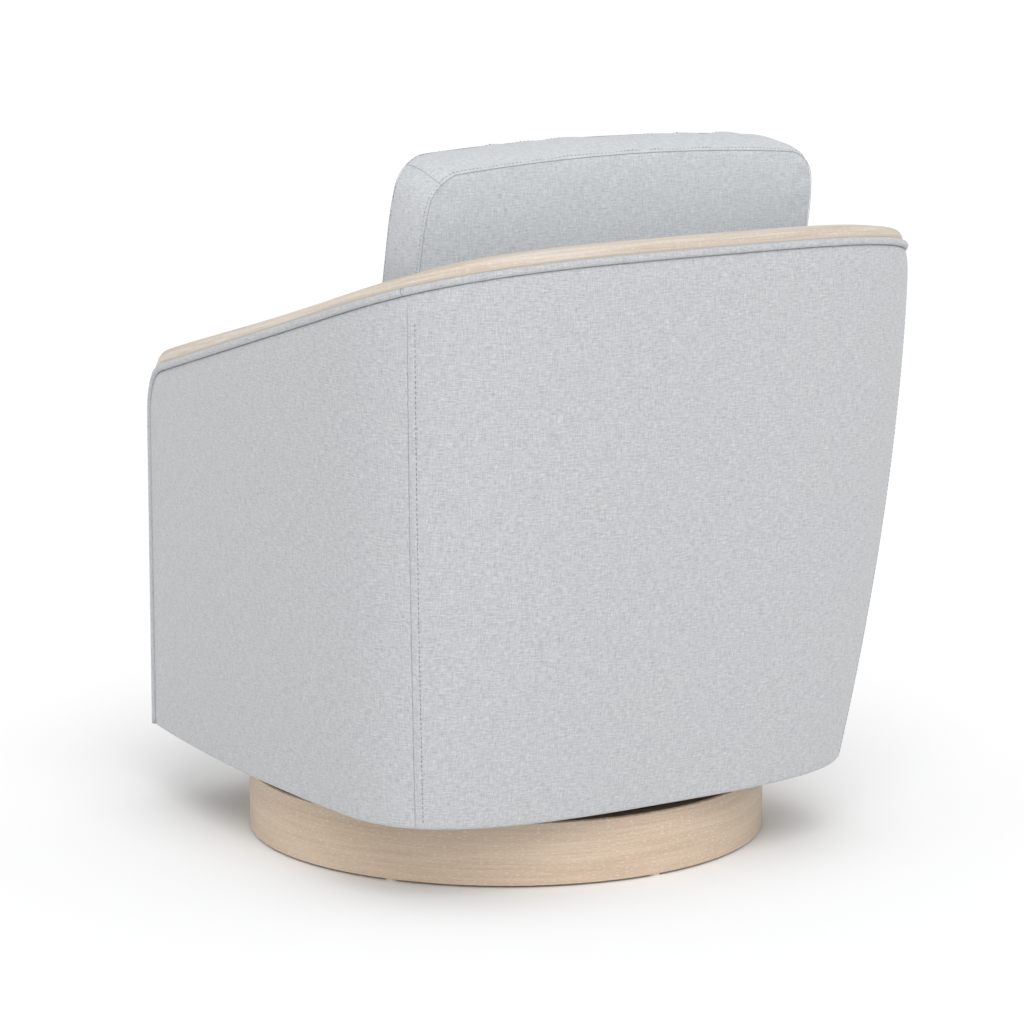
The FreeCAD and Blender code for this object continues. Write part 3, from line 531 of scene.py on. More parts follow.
def plain_wood(name, dark, light, across=90):
    """Sawn wood or plywood with its grain along x."""
    nodes = Nodes(name)
    grain = nodes.noise(nodes.place(), (4, across, across), 5.0, 0.6, 0.6)
    fine = nodes.noise(nodes.place(), (30, 700, 700), 2.0, 0.6)
    mixed = nodes.weighed((grain, 0.7), (fine, 0.3))
    return nodes.finish(nodes.ramp(mixed, (0.35, dark), (0.65, light)),
                        nodes.scaled(grain, 0.2, 0.6), nodes.bump(mixed, 0.3, 0.0005))


def metal(name, dark, light, rough):
    nodes = Nodes(name)
    blotch = nodes.noise(nodes.place(), 60.0, 4.0, 0.6)
    fine = nodes.noise(nodes.place(), 900.0, 2.0, 0.6)
    return nodes.finish(nodes.ramp(blotch, (0.35, dark), (0.7, light)),
                        nodes.scaled(fine, 0.25, rough), nodes.bump(fine, 0.15, 0.0002), Metallic=0.9)


def plain_soft(name, dark, light, scale, rough, depth):
    """Rubber, plastic, thread, thin cloth or a flat grey for painted seam shade, with an even fine grain."""
    nodes = Nodes(name)
    grain = nodes.noise(nodes.place(), scale, 3.0, 0.6)
    return nodes.finish(nodes.ramp(grain, (0.35, dark), (0.65, light)),
                        nodes.scaled(grain, 0.15, rough), nodes.bump(grain, 0.4, depth))


def band_weave(name):
    """Elastic webbing: a coarse dark weave."""
    nodes = Nodes(name)
    x, y, _ = nodes.split(nodes.place())
    ribs = weave(nodes, x, y, WEBBING_PITCH)
    colour = nodes.ramp(ribs, (0.1, (0.02, 0.018, 0.016)), (0.9, (0.11, 0.10, 0.09)))
    return nodes.finish(colour, 0.85, nodes.bump(ribs, 0.7, 0.0008))


def tones(*colours):
    return [linear(*colour) for colour in colours]


linen_cloth = linen("linen_cloth", tones((152, 154, 157), (184, 186, 188), (209, 210, 212)))
# The cushions get a lighter, slightly bluer copy of the same linen: painted light that makes up for the shade on their
# faces.
linen_cushion_painted_light = linen("linen_cushion_painted_light", tones((164, 168, 172), (197, 200, 203), (221, 223, 225)), projected=True)
oak_rail = oak("oak_rail", tones((180, 163, 144), (203, 190, 175), (224, 216, 206)))
oak_ring = oak("oak_ring", tones((186, 163, 139), (202, 180, 157), (213, 194, 173)), ring=True)
plywood = plain_wood("plywood_sheet", *tones((176, 142, 104), (205, 175, 136)), 400)
frame_wood = plain_wood("frame_wood", *tones((188, 156, 116), (214, 186, 146)))
zinc = metal("zinc_plate", (0.42, 0.43, 0.44), (0.62, 0.63, 0.64), 0.28)
black_steel = metal("black_steel", (0.015, 0.015, 0.017), (0.05, 0.05, 0.055), 0.35)
rubber = plain_soft("stop_rubber", (0.012, 0.012, 0.012), (0.03, 0.03, 0.03), 400.0, 0.7, 0.0003)
glide = plain_soft("glide_plastic", *tones((196, 186, 172), (212, 204, 192)), 700.0, 0.45, 0.0001)
under_cloth = plain_soft("under_cloth", (0.012, 0.012, 0.013), (0.03, 0.03, 0.032), 1500.0, 0.9, 0.0004)
bands = band_weave("webbing_bands")
stitch_thread = plain_soft("stitch_thread", *tones((120, 122, 126), (148, 150, 154)), 3000.0, 0.8, 0.0001)
seam_shadow = plain_soft("seam_shadow", *tones((152, 155, 159), (170, 173, 177)), 2000.0, 0.9, 0.0001)
CAD_LOOKS = {
    "oak_finish": oak_ring, "plywood": plywood, "frame_wood": frame_wood, "zinc_steel": zinc,
    "spring_steel": black_steel, "rubber": rubber, "glide_plastic": glide, "webbing": bands,
    "dust_cloth": under_cloth, "fabric": linen_cushion_painted_light,
}
for subpart in frame["record"]["subparts"]:
    node = frame["nodes"][subpart["node"]]
    node.data.materials.clear()
    node.data.materials.append(CAD_LOOKS[subpart["material_slot"]])


# Outer panels

# The rolls at the panels' top edge, foot and seams, and the stitched allowance beside each rear seam
TOP_ROLL, TOP_REACH, FOOT_ROLL = 5.6, 26.0, 5.0
SEAM_ROLL, SEAM_REACH = 1.2, 1.8
FELL_START, FELL_END, FELL_HEIGHT = 2.2, 9.5, 0.5
BODY_ROWS = 34


def panel_inset(point, from_seam):
    """How deep the cloth surface lies at one wall point, from the rolls at its edges and seam."""
    inset = quarter(edge_distance(point), TOP_ROLL, TOP_REACH)
    inset = max(inset, quarter(point.z - SKIRT_Z, FOOT_ROLL, FOOT_ROLL))
    inset = max(inset, quarter(from_seam, SEAM_ROLL, SEAM_REACH))
    ripple = noise(point * 0.012)
    slack = noise(point * 0.035 + Vector((7, 3, 1)))
    return min(inset + 0.25 + 0.25 * ripple + 0.12 * slack, PANEL - 0.4)


def raised_seam(from_seam):
    """The felled seam allowance stands a little proud on the back panel, up to its stitched line."""
    share = (from_seam - FELL_START) / (FELL_END - FELL_START)
    return FELL_HEIGHT * sin(pi * clamp(share))


def wall_panel(name, shares, place_of, seams, felled, node):
    """One cloth panel; place_of turns a share across the panel and a height into a place on the wall.

    seams names the panel's sewn ends: 0 for its first column, 1 for its last.
    """
    feet = spread([(0, 5, 5), (5, 24, 4)])
    heads = spread([(0, 6, 4), (6, 28, 5), (28, 44, 2)])
    columns = []
    for share in shares:
        top = RIM_Z + 100
        for _ in range(4):
            top_place = place_of(share, top)
            top = edge_height(outline_point(min(top_place, 4 - top_place), 1)[1])
        levels = [SKIRT_Z + foot for foot in feet]
        levels += spread([(SKIRT_Z + feet[-1], top - heads[-1], BODY_ROWS + 1)])[1:-1]
        levels += [top - head for head in reversed(heads)]
        columns.append([(place_of(share, level), level) for level in levels])
    surfaces = [[wall(*spot) for spot in row] for row in zip(*columns)]
    runs = [run_lengths(surface) for surface in surfaces]
    middle = len(shares) // 2
    offset = runs[len(runs) // 2][middle]
    grid = []
    for spots, surface, run in zip(zip(*columns), surfaces, runs):
        line = []
        for (place, level), point, along in zip(spots, surface, run):
            near = min(abs(along - seam * run[-1]) for seam in seams)
            inset = panel_inset(point, near)
            if felled:
                inset = max(inset - raised_seam(near), -0.6)
            mark = ((along - run[middle] + offset) * M, level * M)
            line.append((wall(place, level, inset), wall(place, level, PANEL), mark))
        grid.append(line)
    return finish_piece(closed_sheet(name, grid, linen_cloth), node)


SIDE_SHARES = spread([(0, 0.02, 8), (0.02, 0.05, 5), (0.05, 0.12, 7), (0.12, 0.97, 46), (0.97, 0.99, 2),
                      (0.99, 1.0, 8)])
BACK_SHARES = spread([(0, 0.018, 14), (0.018, 0.03, 2), (0.03, 0.97, 84), (0.97, 0.982, 2), (0.982, 1, 14)])
wall_panel("panel_cover_left", SIDE_SHARES, lambda share, level: share * seam_place(level), (1,), False,
           "outer_panel_left")
wall_panel("panel_cover_right", [1 - share for share in reversed(SIDE_SHARES)],
           lambda share, level: 4 - (1 - share) * seam_place(level), (0,), False, "outer_panel_right")
wall_panel("panel_cover_back", BACK_SHARES, lambda share, level: mix(seam_place(level), 4 - seam_place(level), share),
           (0, 1), True, "outer_panel_back")


# Path along the edge of the panels: up the left arm front, over arms and back, and down the right arm front

def edge_points():
    arc_end = CORNER_Y - CORNER * cos(CORNER_TURN)
    half = [(0.0, SKIRT_Z + rise) for rise in spread([(0, CORNER_Z - SKIRT_Z - 4, 30)])]
    for index in range(15):
        turn = CORNER_TURN * index / 14
        y = CORNER_Y - CORNER * cos(turn)
        half.append((place_at_y(y), CORNER_Z + CORNER * sin(turn)))
    for place in spread([(place_at_y(arc_end), 1, 40), (1, 2, 70)])[1:]:
        half.append((place, rim_at(place)))
    return half + [(4 - place, z) for place, z in reversed(half[:-1])]


def edge_path():
    """Frames along the edge: the wall point, inwards across the wall, and outwards from the panel's edge."""
    samples = edge_points()
    points = [wall(place, z) for place, z in samples]
    path = []
    for index, (place, z) in enumerate(samples):
        along = heading(points, index)
        inward = wall(place, z, 1.0) - points[index]
        inward.z = 0
        inward = (inward - along * inward.dot(along)).normalized()
        up = along.cross(inward)
        if index == 0:
            flip = 1 if up.y < 0 else -1
        path.append((points[index], inward, up * flip))
    return path


EDGE = edge_path()
# The rail grows thicker by this share at each arm front, and fades to its own thickness behind it
RAIL_GROWTH, RAIL_FADE, RAIL_END = 0.42, 400.0, 470.0
CORD_IN, CORD_UP = 4.4, 4.1


def trim_path():
    """The rail's path: it thickens towards each arm front and keeps its foot on the welt."""
    path = []
    for point, inward, up in EDGE:
        share = clamp((point.z - CORNER_Z + 25) / 60) * clamp((TOP["front"] + RAIL_END - point.y) / RAIL_FADE)
        growth = RAIL_GROWTH * share * share * (3 - 2 * share)
        path.append((point - up * growth * (WELT - 0.6), inward, up * (1 + growth)))
    return path


def edging(name, section, *nodes):
    """A piece of cloth that runs along the whole edge."""
    return finish_piece(swept(name, EDGE, section, linen_cloth), *nodes)


edging("welt_cord", soft_circle(4.2, 14, CORD_IN, CORD_UP), "outer_welt")
edging("welt_flange", rounded_box(4.0, PANEL + 22, 0.6, WELT - 0.4, (0.4, 1, 1, 0.4), 2))
edging("welt_tape", rounded_box(PANEL - 1.9, PANEL + 1, -3.0, 1.0, (0.3, 0.3, 0.3, 0.3), 2))
trim_section = rounded_box(PANEL - 0.8, TRIM_IN, WELT - 0.6, WELT + TRIM, (1.0, 1.0, 5.0, 9.0), 6)
finish_piece(swept("trim_rail", trim_path(), trim_section, oak_rail), "wood_trim_rail", slot="oak_finish")
edging("inner_welt_cord", soft_circle(4.0, 14, TRIM_IN + 4.1, WELT + 4.0), "inner_welt")


def welt_joint(name, side):
    """The sewn joint of the welt's cover where a rear seam meets it: a thin ring around the cord."""
    around, tube, radius, thick = 22, 6, 4.05, 0.45
    level = edge_height(240.0)
    seam = seam_place(level)
    target = wall(seam if side > 0 else 4 - seam, level)
    point, inward, up = min(EDGE, key=lambda step: (step[0] - target).length)
    centre = point + inward * CORD_IN + up * CORD_UP
    normal = inward.cross(up).normalized()
    points, faces = [], []
    for step in range(around):
        turn = 2 * pi * step / around
        out = inward * cos(turn) + up * sin(turn)
        for index in range(tube):
            roll = 2 * pi * index / tube
            points.append(centre + out * (radius + thick * cos(roll)) + normal * thick * sin(roll))
            a, b = step * tube + index, step * tube + (index + 1) % tube
            after = (step + 1) % around * tube
            faces.append((a, b, after + (index + 1) % tube, after + index))
    return finish_piece(mesh_object(name, points, faces, stitch_thread))


welt_joint("welt_joint_left", 1)
welt_joint("welt_joint_right", -1)

# Stitches

def along_line(points, spacing):
    """Points and directions at an even spacing along a line, from half a spacing on."""
    run, due, found = 0.0, spacing / 2, []
    for before, after in zip(points, points[1:]):
        length = (after - before).length
        while length > 1e-9 and due <= run + length:
            found.append((before + (after - before) * ((due - run) / length), (after - before) / length))
            due += spacing
        run += length
    return found


# Each stitch is a dash of thread, thin at its ends: place along it and share of its full radius
STITCH = ((-0.5, 0.35), (-0.3, 1.0), (0.3, 1.0), (0.5, 0.35))


def stitches(name, lines, spacing, long, thick):
    """Short thread dashes laid along lines of points, which are in millimetres from the swivel axis."""
    points, faces = [], []
    for line in lines:
        for centre, along in along_line(line, spacing):
            add_tube(points, faces, [(centre + along * share * long, along, girth * thick) for share, girth in STITCH])
    return finish_piece(mesh_object(name, points, faces, stitch_thread))


def seam_stitch_line(sign):
    """The stitched line beside one rear seam, on the back panel."""
    line = []
    for level in spread([(SKIRT_Z + 8, 660, 60)]):
        seam = seam_place(level)
        at_seam, beside = wall(seam, level), wall(seam + 0.02, level)
        place = seam + 0.02 * 9.2 / (beside - at_seam).length
        point = wall(place, level, 0.25)
        if level < edge_height(point.y) - 6:
            line.append(Vector((sign * point.x, point.y, point.z)))
    return line


stitches("wall_stitches", [seam_stitch_line(1), seam_stitch_line(-1)], 5.6, 3.6, 0.5)


# Padded lining of the arms and back

ROLL = 18.0


def lining_side(name, side, columns, row_ends, nodes):
    """One padded lining; its edge rolls over to the inner welt."""
    grid = []
    tops = [edge_height(y, WELT) for y in columns]
    for row in spread([(0, 0.9, 24), (0.9, 1, 12)]):
        line = []
        for y, top in zip(columns, tops):
            level = mix(row_ends[0], min(top, row_ends[1]), row)
            place = place_at_y(y)
            run = max(edge_distance(wall(place, level), WELT), 0.0)
            inset = ARM_IN - quarter(run, ROLL, ROLL) - 0.6
            inset += 0.5 * noise(Vector((y, level, 5.0)) * 0.02)
            near, far = wall(place, level, inset), wall(place, level, FRAME_IN + 0.5)
            near.x, far.x = side * near.x, side * far.x
            line.append((near, far, (y * M, level * M)))
        grid.append(line)
    return finish_piece(closed_sheet(name, grid, linen_cloth), *nodes, fill=0.7)


FRONT_END = TOP["front"] - WELT
LINING_COLUMNS = spread([(FRONT_END + 0.01, FRONT_END + 20, 16), (FRONT_END + 20, FRONT_END + 62, 14),
                         (FRONT_END + 62, 150, 30), (150, 262, 18)])
LEG_COLUMNS = [y for y in LINING_COLUMNS if y < TOP["front"] + 21]
for label, side in (("left", 1), ("right", -1)):
    lining_side(f"arm_lining_{label}", side, LINING_COLUMNS, (DECK_Z, 1000.0), [f"inner_arm_{label}"])
    lining_side(f"arm_leg_{label}", side, LEG_COLUMNS, (SKIRT_Z + 0.5, DECK_Z - 0.3), [])


def back_face_y(level):
    return BACK_FACE + (level - DECK_Z) * tan(BACK_LEAN)


def inner_half(y, level, inset):
    """Half the width inside the wall at one depth and height."""
    place = last_below(0.0, 2.0, lambda place: wall(place, level, inset).y < y)
    return wall(place, level, inset).x


SHELF_ROLL, LINING_THICK, SHELF_THICK = 24.0, 22.0, 16.0


def back_lining():
    """The inner back: a leaning padded face that rolls over into a shelf behind the cushion."""
    shares = spread([(-1, -0.94, 6), (-0.94, 0.94, 44), (0.94, 1, 6)])
    rim = rim_height(back_face_y(690)) + WELT
    levels = spread([(DECK_Z + 1, rim - SHELF_ROLL, 26)])
    head = levels[-1]
    halves = [inner_half(back_face_y(level), level, ARM_IN + 0.5) for level in levels]
    half = halves[-1]
    grid = []
    for level, wide in zip(levels, halves):
        y = back_face_y(level)
        line = []
        for share in shares:
            crown = 3.0 * (1 - share * share) + 0.6 * noise(Vector((share * 4, level * 0.02, 1)))
            line.append((Vector((share * wide, y + 3.4 - crown, level)),
                         Vector((share * wide, y + LINING_THICK, level)), (share * half * M, level * M)))
        grid.append(line)
    start = back_face_y(head)
    for turn in spread([(15, 90, 5)]):
        angle = radians(turn)
        y, level = start + SHELF_ROLL * (1 - cos(angle)) + 1, head + SHELF_ROLL * sin(angle)
        under_y, under = y + LINING_THICK - SHELF_THICK * angle, level - SHELF_THICK * sin(angle)
        grid.append([(Vector((share * half, y, level)), Vector((share * half, under_y, under)),
                      (share * half * M, (head + SHELF_ROLL * angle) * M)) for share in shares])
    first = place_at_y(start + SHELF_ROLL)
    ends = []
    for share in shares:
        place = mix(4 - first, first, (share + 1) / 2)
        end = wall(place, rim_at(min(place, 4 - place)), TRIM_IN + 1.5)
        ends.append(Vector((end.x, end.y, end.z + WELT)))
    for step in spread([(0.06, 1, 14)]):
        line = []
        for share, end in zip(shares, ends):
            point = Vector((share * half, start + SHELF_ROLL, rim)).lerp(end, step)
            point.z += 7 * sin(pi * step) * (1 - share ** 4)
            mark = (point.x * M, (head + SHELF_ROLL * 1.57 + point.y - start) * M)
            line.append((point, point - Vector((0, 0, SHELF_THICK)), mark))
        grid.append(line)
    return finish_piece(closed_sheet("back_lining", grid, linen_cloth), "inner_back", fill=0.7)


back_lining()


def front_panel():
    """The padded border under the seat cushion, rolled at its edges."""
    grid = []
    for level in spread([(SKIRT_Z + 0.4, SKIRT_Z + 14, 6), (SKIRT_Z + 14, 312, 24), (312, DECK_Z - 0.6, 6)]):
        front_y, half = wall(0, level).y, wall(0, level, ARM_IN - 3.5).x
        line = []
        for share in spread([(-1, -0.94, 7), (-0.94, 0.94, 40), (0.94, 1, 7)]):
            x = share * half
            edge = min(half - abs(x), level - SKIRT_Z, DECK_Z - level)
            inset = quarter(edge, 9, 11) + 0.6 * noise(Vector((x, level, 9)) * 0.015)
            line.append((Vector((x, front_y + 1.2 + inset, level)), Vector((x, front_y + 19.2, level)),
                         (x * M, level * M)))
        grid.append(line)
    return finish_piece(closed_sheet("border_pad", grid, linen_cloth), "front_border", fill=0.6)


front_panel()


# Loose cushions: sewn from two faces and a boxing strip, filled by a cloth simulation

def rounded_corner(x, y, half_x, low, high, radius):
    """Moves a point of a square grid so that the grid's corners become round."""
    upper = 1 if y > (low + high) / 2 else -1
    cx, cy = half_x - radius, high - radius if upper > 0 else low + radius
    dx, dy = abs(x) - cx, (y - cy) * upper
    if dx <= 0 or dy <= 0:
        return x, y
    shrink = max(dx, dy) / hypot(dx, dy)
    return copysign(cx + dx * shrink, x), cy + dy * shrink * upper


def crowded(index, count):
    """Even steps from -1 to 1, drawn towards both ends, where a cushion bends most."""
    share = 2 * index / (count - 1) - 1
    return sin(share * pi / 2 * 0.8) / sin(pi / 2 * 0.8)


def box_cushion(name, grid, place, depths):
    """A closed cushion: grid holds the face's points, depths the strip's levels from face to face."""
    rows, columns = len(grid), len(grid[0])
    points = [place(*spot, depth) for depth in (depths[0], depths[-1]) for row in grid for spot in row]
    faces = layer_faces(rows, columns, turned=True)
    loop = boundary(rows, columns)
    rings = [[r * columns + c for r, c in loop]]
    for depth in depths[1:-1]:
        rings.append(list(range(len(points), len(points) + len(loop))))
        points += [place(*grid[r][c], depth) for r, c in loop]
    rings.append([index + rows * columns for index in rings[0]])
    for low, high in zip(rings, rings[1:]):
        for index in range(len(low)):
            after = (index + 1) % len(low)
            faces.append((low[index], low[after], high[after], high[index]))
    return outward(mesh_object(name, points, faces, linen_cushion_painted_light)), rings


FILL_FRAMES = 20


def fill_cushion(cushion, seams, pressure, cap):
    """Inflates the cushion with its seams held, then writes the smoothed result into its mesh, up to a cap."""
    mesh = cushion.data
    held = cushion.vertex_groups.new(name="seams")
    held.add(seams, 1.0, "ADD")
    cloth = cushion.modifiers.new("filling", "CLOTH")
    values = dict(quality=6, mass=0.25, tension_stiffness=14, compression_stiffness=14, shear_stiffness=5,
                  bending_stiffness=0.6, use_pressure=True, uniform_pressure_force=pressure,
                  vertex_group_mass="seams", pin_stiffness=1.0)
    for key, value in values.items():
        setattr(cloth.settings, key, value)
    cloth.settings.effector_weights.gravity = 0
    cloth.point_cache.frame_start, cloth.point_cache.frame_end = 1, FILL_FRAMES
    for step in range(1, FILL_FRAMES + 1):
        scene.frame_set(step)
    filled = cushion.evaluated_get(bpy.context.evaluated_depsgraph_get()).data
    shifts = [end.co - start.co for start, end in zip(mesh.vertices, filled.vertices)]
    cushion.modifiers.remove(cloth)
    scene.frame_set(1)
    shifts = [shift * min(1.0, cap / max(shift.length, 1e-9)) for shift in shifts]
    beside = [[] for _ in mesh.vertices]
    for edge in mesh.edges:
        first, second = edge.vertices
        beside[first].append(second)
        beside[second].append(first)
    fixed = set(seams)
    for _ in range(6):
        shifts = [shift if index in fixed else
                  shift * 0.4 + sum((shifts[other] for other in beside[index]), Vector()) * (0.6 / len(beside[index]))
                  for index, shift in enumerate(shifts)]
    for vertex, shift in zip(mesh.vertices, shifts):
        vertex.co += shift
    mesh.update()


PUCKER_REACH, PUCKER_SCALE = 0.055, 48.0


def pucker(cushion, seams, height):
    """Small soft folds that run away from the seams and fade out over the faces."""
    mesh = cushion.data
    tree = KDTree(len(seams))
    for index in seams:
        tree.insert(mesh.vertices[index].co, index)
    tree.balance()
    moves = []
    for vertex in mesh.vertices:
        near, _, gap = tree.find(vertex.co)
        share = gap / PUCKER_REACH
        if gap < 1e-6 or share >= 1:
            continue
        fade = sin(pi * share ** 0.6)
        moves.append((vertex, vertex.normal * fade * height * noise(near * PUCKER_SCALE)))
    for vertex, move in moves:
        vertex.co += move
    mesh.update()


def surface_line(cushion, indices, lift):
    """A line over some of the cushion's points, in millimetres from the swivel axis."""
    line = []
    for index in indices:
        vertex = cushion.data.vertices[index]
        point = vertex.co + vertex.normal * lift * M
        line.append(Vector((point.x / M, point.y / M - AXIS_Y, point.z / M)))
    return line


# Radius of the thin tubes that paint shade along the cushion seams, and the power of the faces' doming
SEAM_SHADE_RADIUS, DOME_POWER = 0.34, 3.2


def seam_shade_and_stitches(cushion, rings, corners):
    """Painted shade along the seams, as thin grey tubes around both faces and across the strip at its mitred corners,
    and the stitches beside them.
    """
    loops = [surface_line(cushion, rings[index] + rings[index][:1], 0.0) for index in (0, -1)]
    loops += [surface_line(cushion, [ring[corner] for ring in rings], -0.1) for corner in corners]
    points, faces = [], []
    for loop in loops:
        add_tube(points, faces, [(point, heading(loop, index), SEAM_SHADE_RADIUS) for index, point in enumerate(loop)])
    # These tubes are painted seam shade in a flat grey, not thread.
    finish_piece(mesh_object(f"{cushion.name}_seams", points, faces, seam_shadow))
    lines = [surface_line(cushion, rings[index] + rings[index][:1], -0.1) for index in (2, -3)]
    stitches(f"{cushion.name}_stitches", lines, 5.2, 3.3, 0.38)


def dome(cushion, rows, columns, height, axis, sign, near_share):
    """Rounds both faces out along an axis between the seams, the near one by a share of the height."""
    vertices = cushion.data.vertices
    for r in range(rows):
        for c in range(columns):
            across, up = abs(2 * c / (columns - 1) - 1), abs(2 * r / (rows - 1) - 1)
            rise = sign * height * M * (1 - across ** DOME_POWER) * (1 - up ** DOME_POWER)
            vertices[r * columns + c].co[axis] -= rise * near_share
            vertices[(rows + r) * columns + c].co[axis] += rise
    cushion.data.update()


def sewn_cushion(name, node, rows, columns, spot, place, depths, doming, pressure, cap, folds, upper_mitres, fill):
    """A whole cushion: doming is (height, axis, sign, near share), folds the height of its small folds."""
    grid = [[spot(crowded(c, columns), 0.5 + 0.5 * crowded(r, rows)) for c in range(columns)] for r in range(rows)]
    cushion, rings = box_cushion(name, grid, place, depths)
    seams = rings[0] + rings[-1]
    dome(cushion, rows, columns, *doming)
    fill_cushion(cushion, seams, pressure, cap)
    pucker(cushion, seams, folds)
    far_corner = columns - 1 + rows - 1
    seam_shade_and_stitches(cushion, rings, (far_corner, far_corner + columns - 1) if upper_mitres else (0, columns - 1))
    mark_facing(cushion)
    smooth = cushion.modifiers.new("smooth", "SUBSURF")
    smooth.levels = smooth.render_levels = 1
    return finish_piece(cushion, node, fill=fill)


def crowned(depth, thick):
    """Grows from 0 at both faces to 1 half way between them."""
    share = clamp(depth / thick)
    return 4 * share * (1 - share)


BACK_HALF, BACK_LOW, BACK_HIGH, BACK_THICK = 266.0, 470.0, 812.0, 92.0


def back_cushion_spot(across, up):
    """A point of the face: it leans in and is crowned at its top."""
    x, y = rounded_corner(across * BACK_HALF, mix(BACK_LOW, BACK_HIGH, up), BACK_HALF, BACK_LOW, BACK_HIGH, 30)
    lean_in = 1 - 0.035 * clamp((y - 735) / 75) ** 2 - 0.012 * (1 - clamp((y - BACK_LOW) / 200))
    crown = (3.5 - 12.5 * (x / BACK_HALF) ** 2) * clamp((y - 640) / 170)
    return x * lean_in, y + crown


def back_cushion_place(x, level, depth):
    """A point of the cushion: the strip swells between its seams, and the whole slumps to one side."""
    narrow = 1 - 0.062 * clamp(depth / 100)
    high = clamp((level - 640) / 170)
    swell = crowned(depth, BACK_THICK)
    slump = 0.09 * (760 - max(level, 660.0))
    lift = swell * 7 * (2 * clamp((level - BACK_LOW) / 340) - 1)
    rise = depth * high * 0.045 * (x / BACK_HALF) ** 2 + depth * (0.04 + 0.08 * high)
    return Vector((x * narrow * (1 + swell * 0.022) + slump, back_face_y(level) - 7 - depth, level + rise + lift))


sewn_cushion("back_pad", "back_cushion", 34, 46, back_cushion_spot, back_cushion_place,
             spread([(0, 5.4, 2), (5.4, 86.6, 10), (86.6, BACK_THICK, 2)]),
             doming=(17, 1, -1, 0.45), pressure=2.2, cap=0.008, folds=0.0036, upper_mitres=True, fill=0.75)
SEAT_THICK = 108.0


def seat_cushion_spot(across, along):
    front, rear = TOP["front"] - 2.0, BACK_FACE - 3.0
    x, y = rounded_corner(across * 100, mix(front, rear, along), 100, front, rear + 60, 26 / 2.5)
    return x / 100 * inner_half(max(y, front), 395, ARM_IN + 3), y


def seat_cushion_place(x, y, depth):
    swell = crowned(depth, SEAT_THICK)
    middle = (TOP["front"] + BACK_FACE) / 2
    return Vector((x * (1 + 0.004 * swell), middle + (y - middle) * (1 + 0.014 * swell), DECK_Z + 9 + depth))


sewn_cushion("seat_pad", "seat_cushion", 40, 46, seat_cushion_spot, seat_cushion_place,
             spread([(0, 5.4, 2), (5.4, 102.6, 11), (102.6, SEAT_THICK, 2)]),
             doming=(13, 2, 1, 0.3), pressure=2.0, cap=0.007, folds=0.0030, upper_mitres=False, fill=0.8)


# Springs: round wire coils whose ends lie flat on their brackets

WIRE, COIL_RADIUS, COIL_TURNS, TURN_STEPS, DEAD_TURNS = 3.0, 20.0, 5.0, 28, 0.7


def coil(name, x, y, low, high, node):
    """A spring of round wire; its first and last turns lie flat."""
    path = []
    for share in spread([(0, 1, int(COIL_TURNS * TURN_STEPS))]):
        rise = clamp((share * COIL_TURNS - DEAD_TURNS) / (COIL_TURNS - 2 * DEAD_TURNS))
        turn = 2 * pi * COIL_TURNS * share
        path.append(Vector((x + COIL_RADIUS * cos(turn), y + COIL_RADIUS * sin(turn),
                            mix(low + WIRE, high - WIRE, rise))))
    frames = []
    for index, point in enumerate(path):
        along = heading(path, index)
        outwards = Vector((point.x - x, point.y - y, 0)).normalized()
        outwards = (outwards - along * outwards.dot(along)).normalized()
        frames.append((point, outwards, along.cross(outwards)))
    spring = outward(swept(name, frames, soft_circle(WIRE, 10), black_steel))
    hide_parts(node)
    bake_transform(spring)


SPRING_X, SPRING_Y = 95.0, 58.0
for side_label, side in (("left", 1), ("right", -1)):
    for end_label, end in (("front", -1), ("rear", 1)):
        name = f"spring_{end_label}_{side_label}"
        low_corner, high_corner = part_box(name)
        coil(f"coil_{end_label}_{side_label}", side * SPRING_X, end * SPRING_Y,
             low_corner.z / M, high_corner.z / M, name)


# Cloth under the frame

cover_mesh = frame["nodes"]["dust_cover"].data.copy()
cover = new_object("under_cover", cover_mesh)
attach(cover, "seat")
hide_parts("dust_cover")


# Camera, light and floor

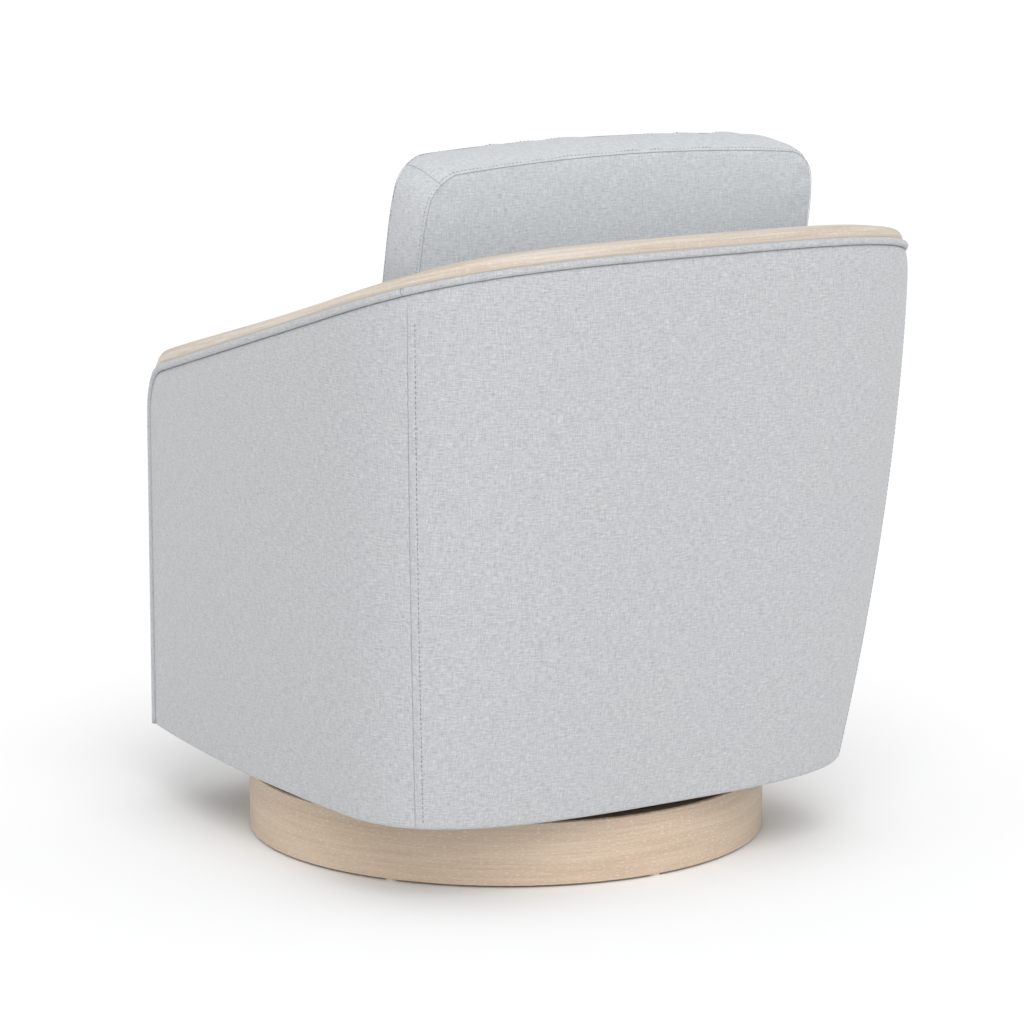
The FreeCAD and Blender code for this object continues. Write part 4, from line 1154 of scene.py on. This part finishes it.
PICTURE, SENSOR, FOCAL_PIXELS, CENTRE_X = 1024, 36, 4247.1, 505.97
turn, tilt, rise, distance = radians(145.651), radians(10.4219), radians(14.5694), 5.08313
camera_data = bpy.data.cameras.new("photo_camera")
camera_data.lens = FOCAL_PIXELS / PICTURE * SENSOR
camera_data.sensor_width = SENSOR
camera_data.shift_x = -(CENTRE_X - PICTURE / 2) / PICTURE
camera_data.clip_end = 50
camera = new_object("photo_camera", camera_data)
forward = Vector((-sin(turn) * cos(tilt), cos(turn) * cos(tilt), -sin(tilt)))
right = Vector((cos(turn), sin(turn), 0))
above = right.cross(forward)
spot = Vector((sin(turn) * cos(rise), -cos(turn) * cos(rise), sin(rise))) * distance
spot.y += AXIS_Y * M
camera.matrix_world = Matrix((
    (right.x, above.x, -forward.x, spot.x),
    (right.y, above.y, -forward.y, spot.y),
    (right.z, above.z, -forward.z, spot.z),
    (0, 0, 0, 1),
))
scene.camera = camera

FLOOR_HALF = 40
floor_mesh = bpy.data.meshes.new("studio_floor")
corners = [(x * FLOOR_HALF, y * FLOOR_HALF, 0) for x, y in ((-1, -1), (1, -1), (1, 1), (-1, 1))]
floor_mesh.from_pydata(corners, [], [(0, 1, 2, 3)])
floor_mesh.materials.append(Nodes("studio_floor").finish((0.97, 0.97, 0.97), 0.9))
new_object("studio_floor", floor_mesh)


def soft_sun(name, side, height, strength, spread_angle):
    """A wide soft light from one direction: side and height in degrees, side as the camera's turn."""
    data = bpy.data.lights.new(name, "SUN")
    data.energy = strength
    data.angle = radians(spread_angle)
    thing = new_object(name, data)
    side, height = radians(side), radians(height)
    towards = Vector((sin(side) * cos(height), -cos(side) * cos(height), sin(height)))
    thing.rotation_euler = towards.to_track_quat("Z", "Y").to_euler()


soft_sun("key_light", 158, 48, 1.15, 40)
soft_sun("fill_light", 146, 16, 0.45, 60)
world = bpy.data.worlds.new("studio_world")
world.use_nodes = True
sky = world.node_tree.nodes["Background"].inputs
sky["Color"].default_value = (1, 1, 1, 1)
sky["Strength"].default_value = 0.77
scene.world = world
scene.view_settings.view_transform = "Standard"
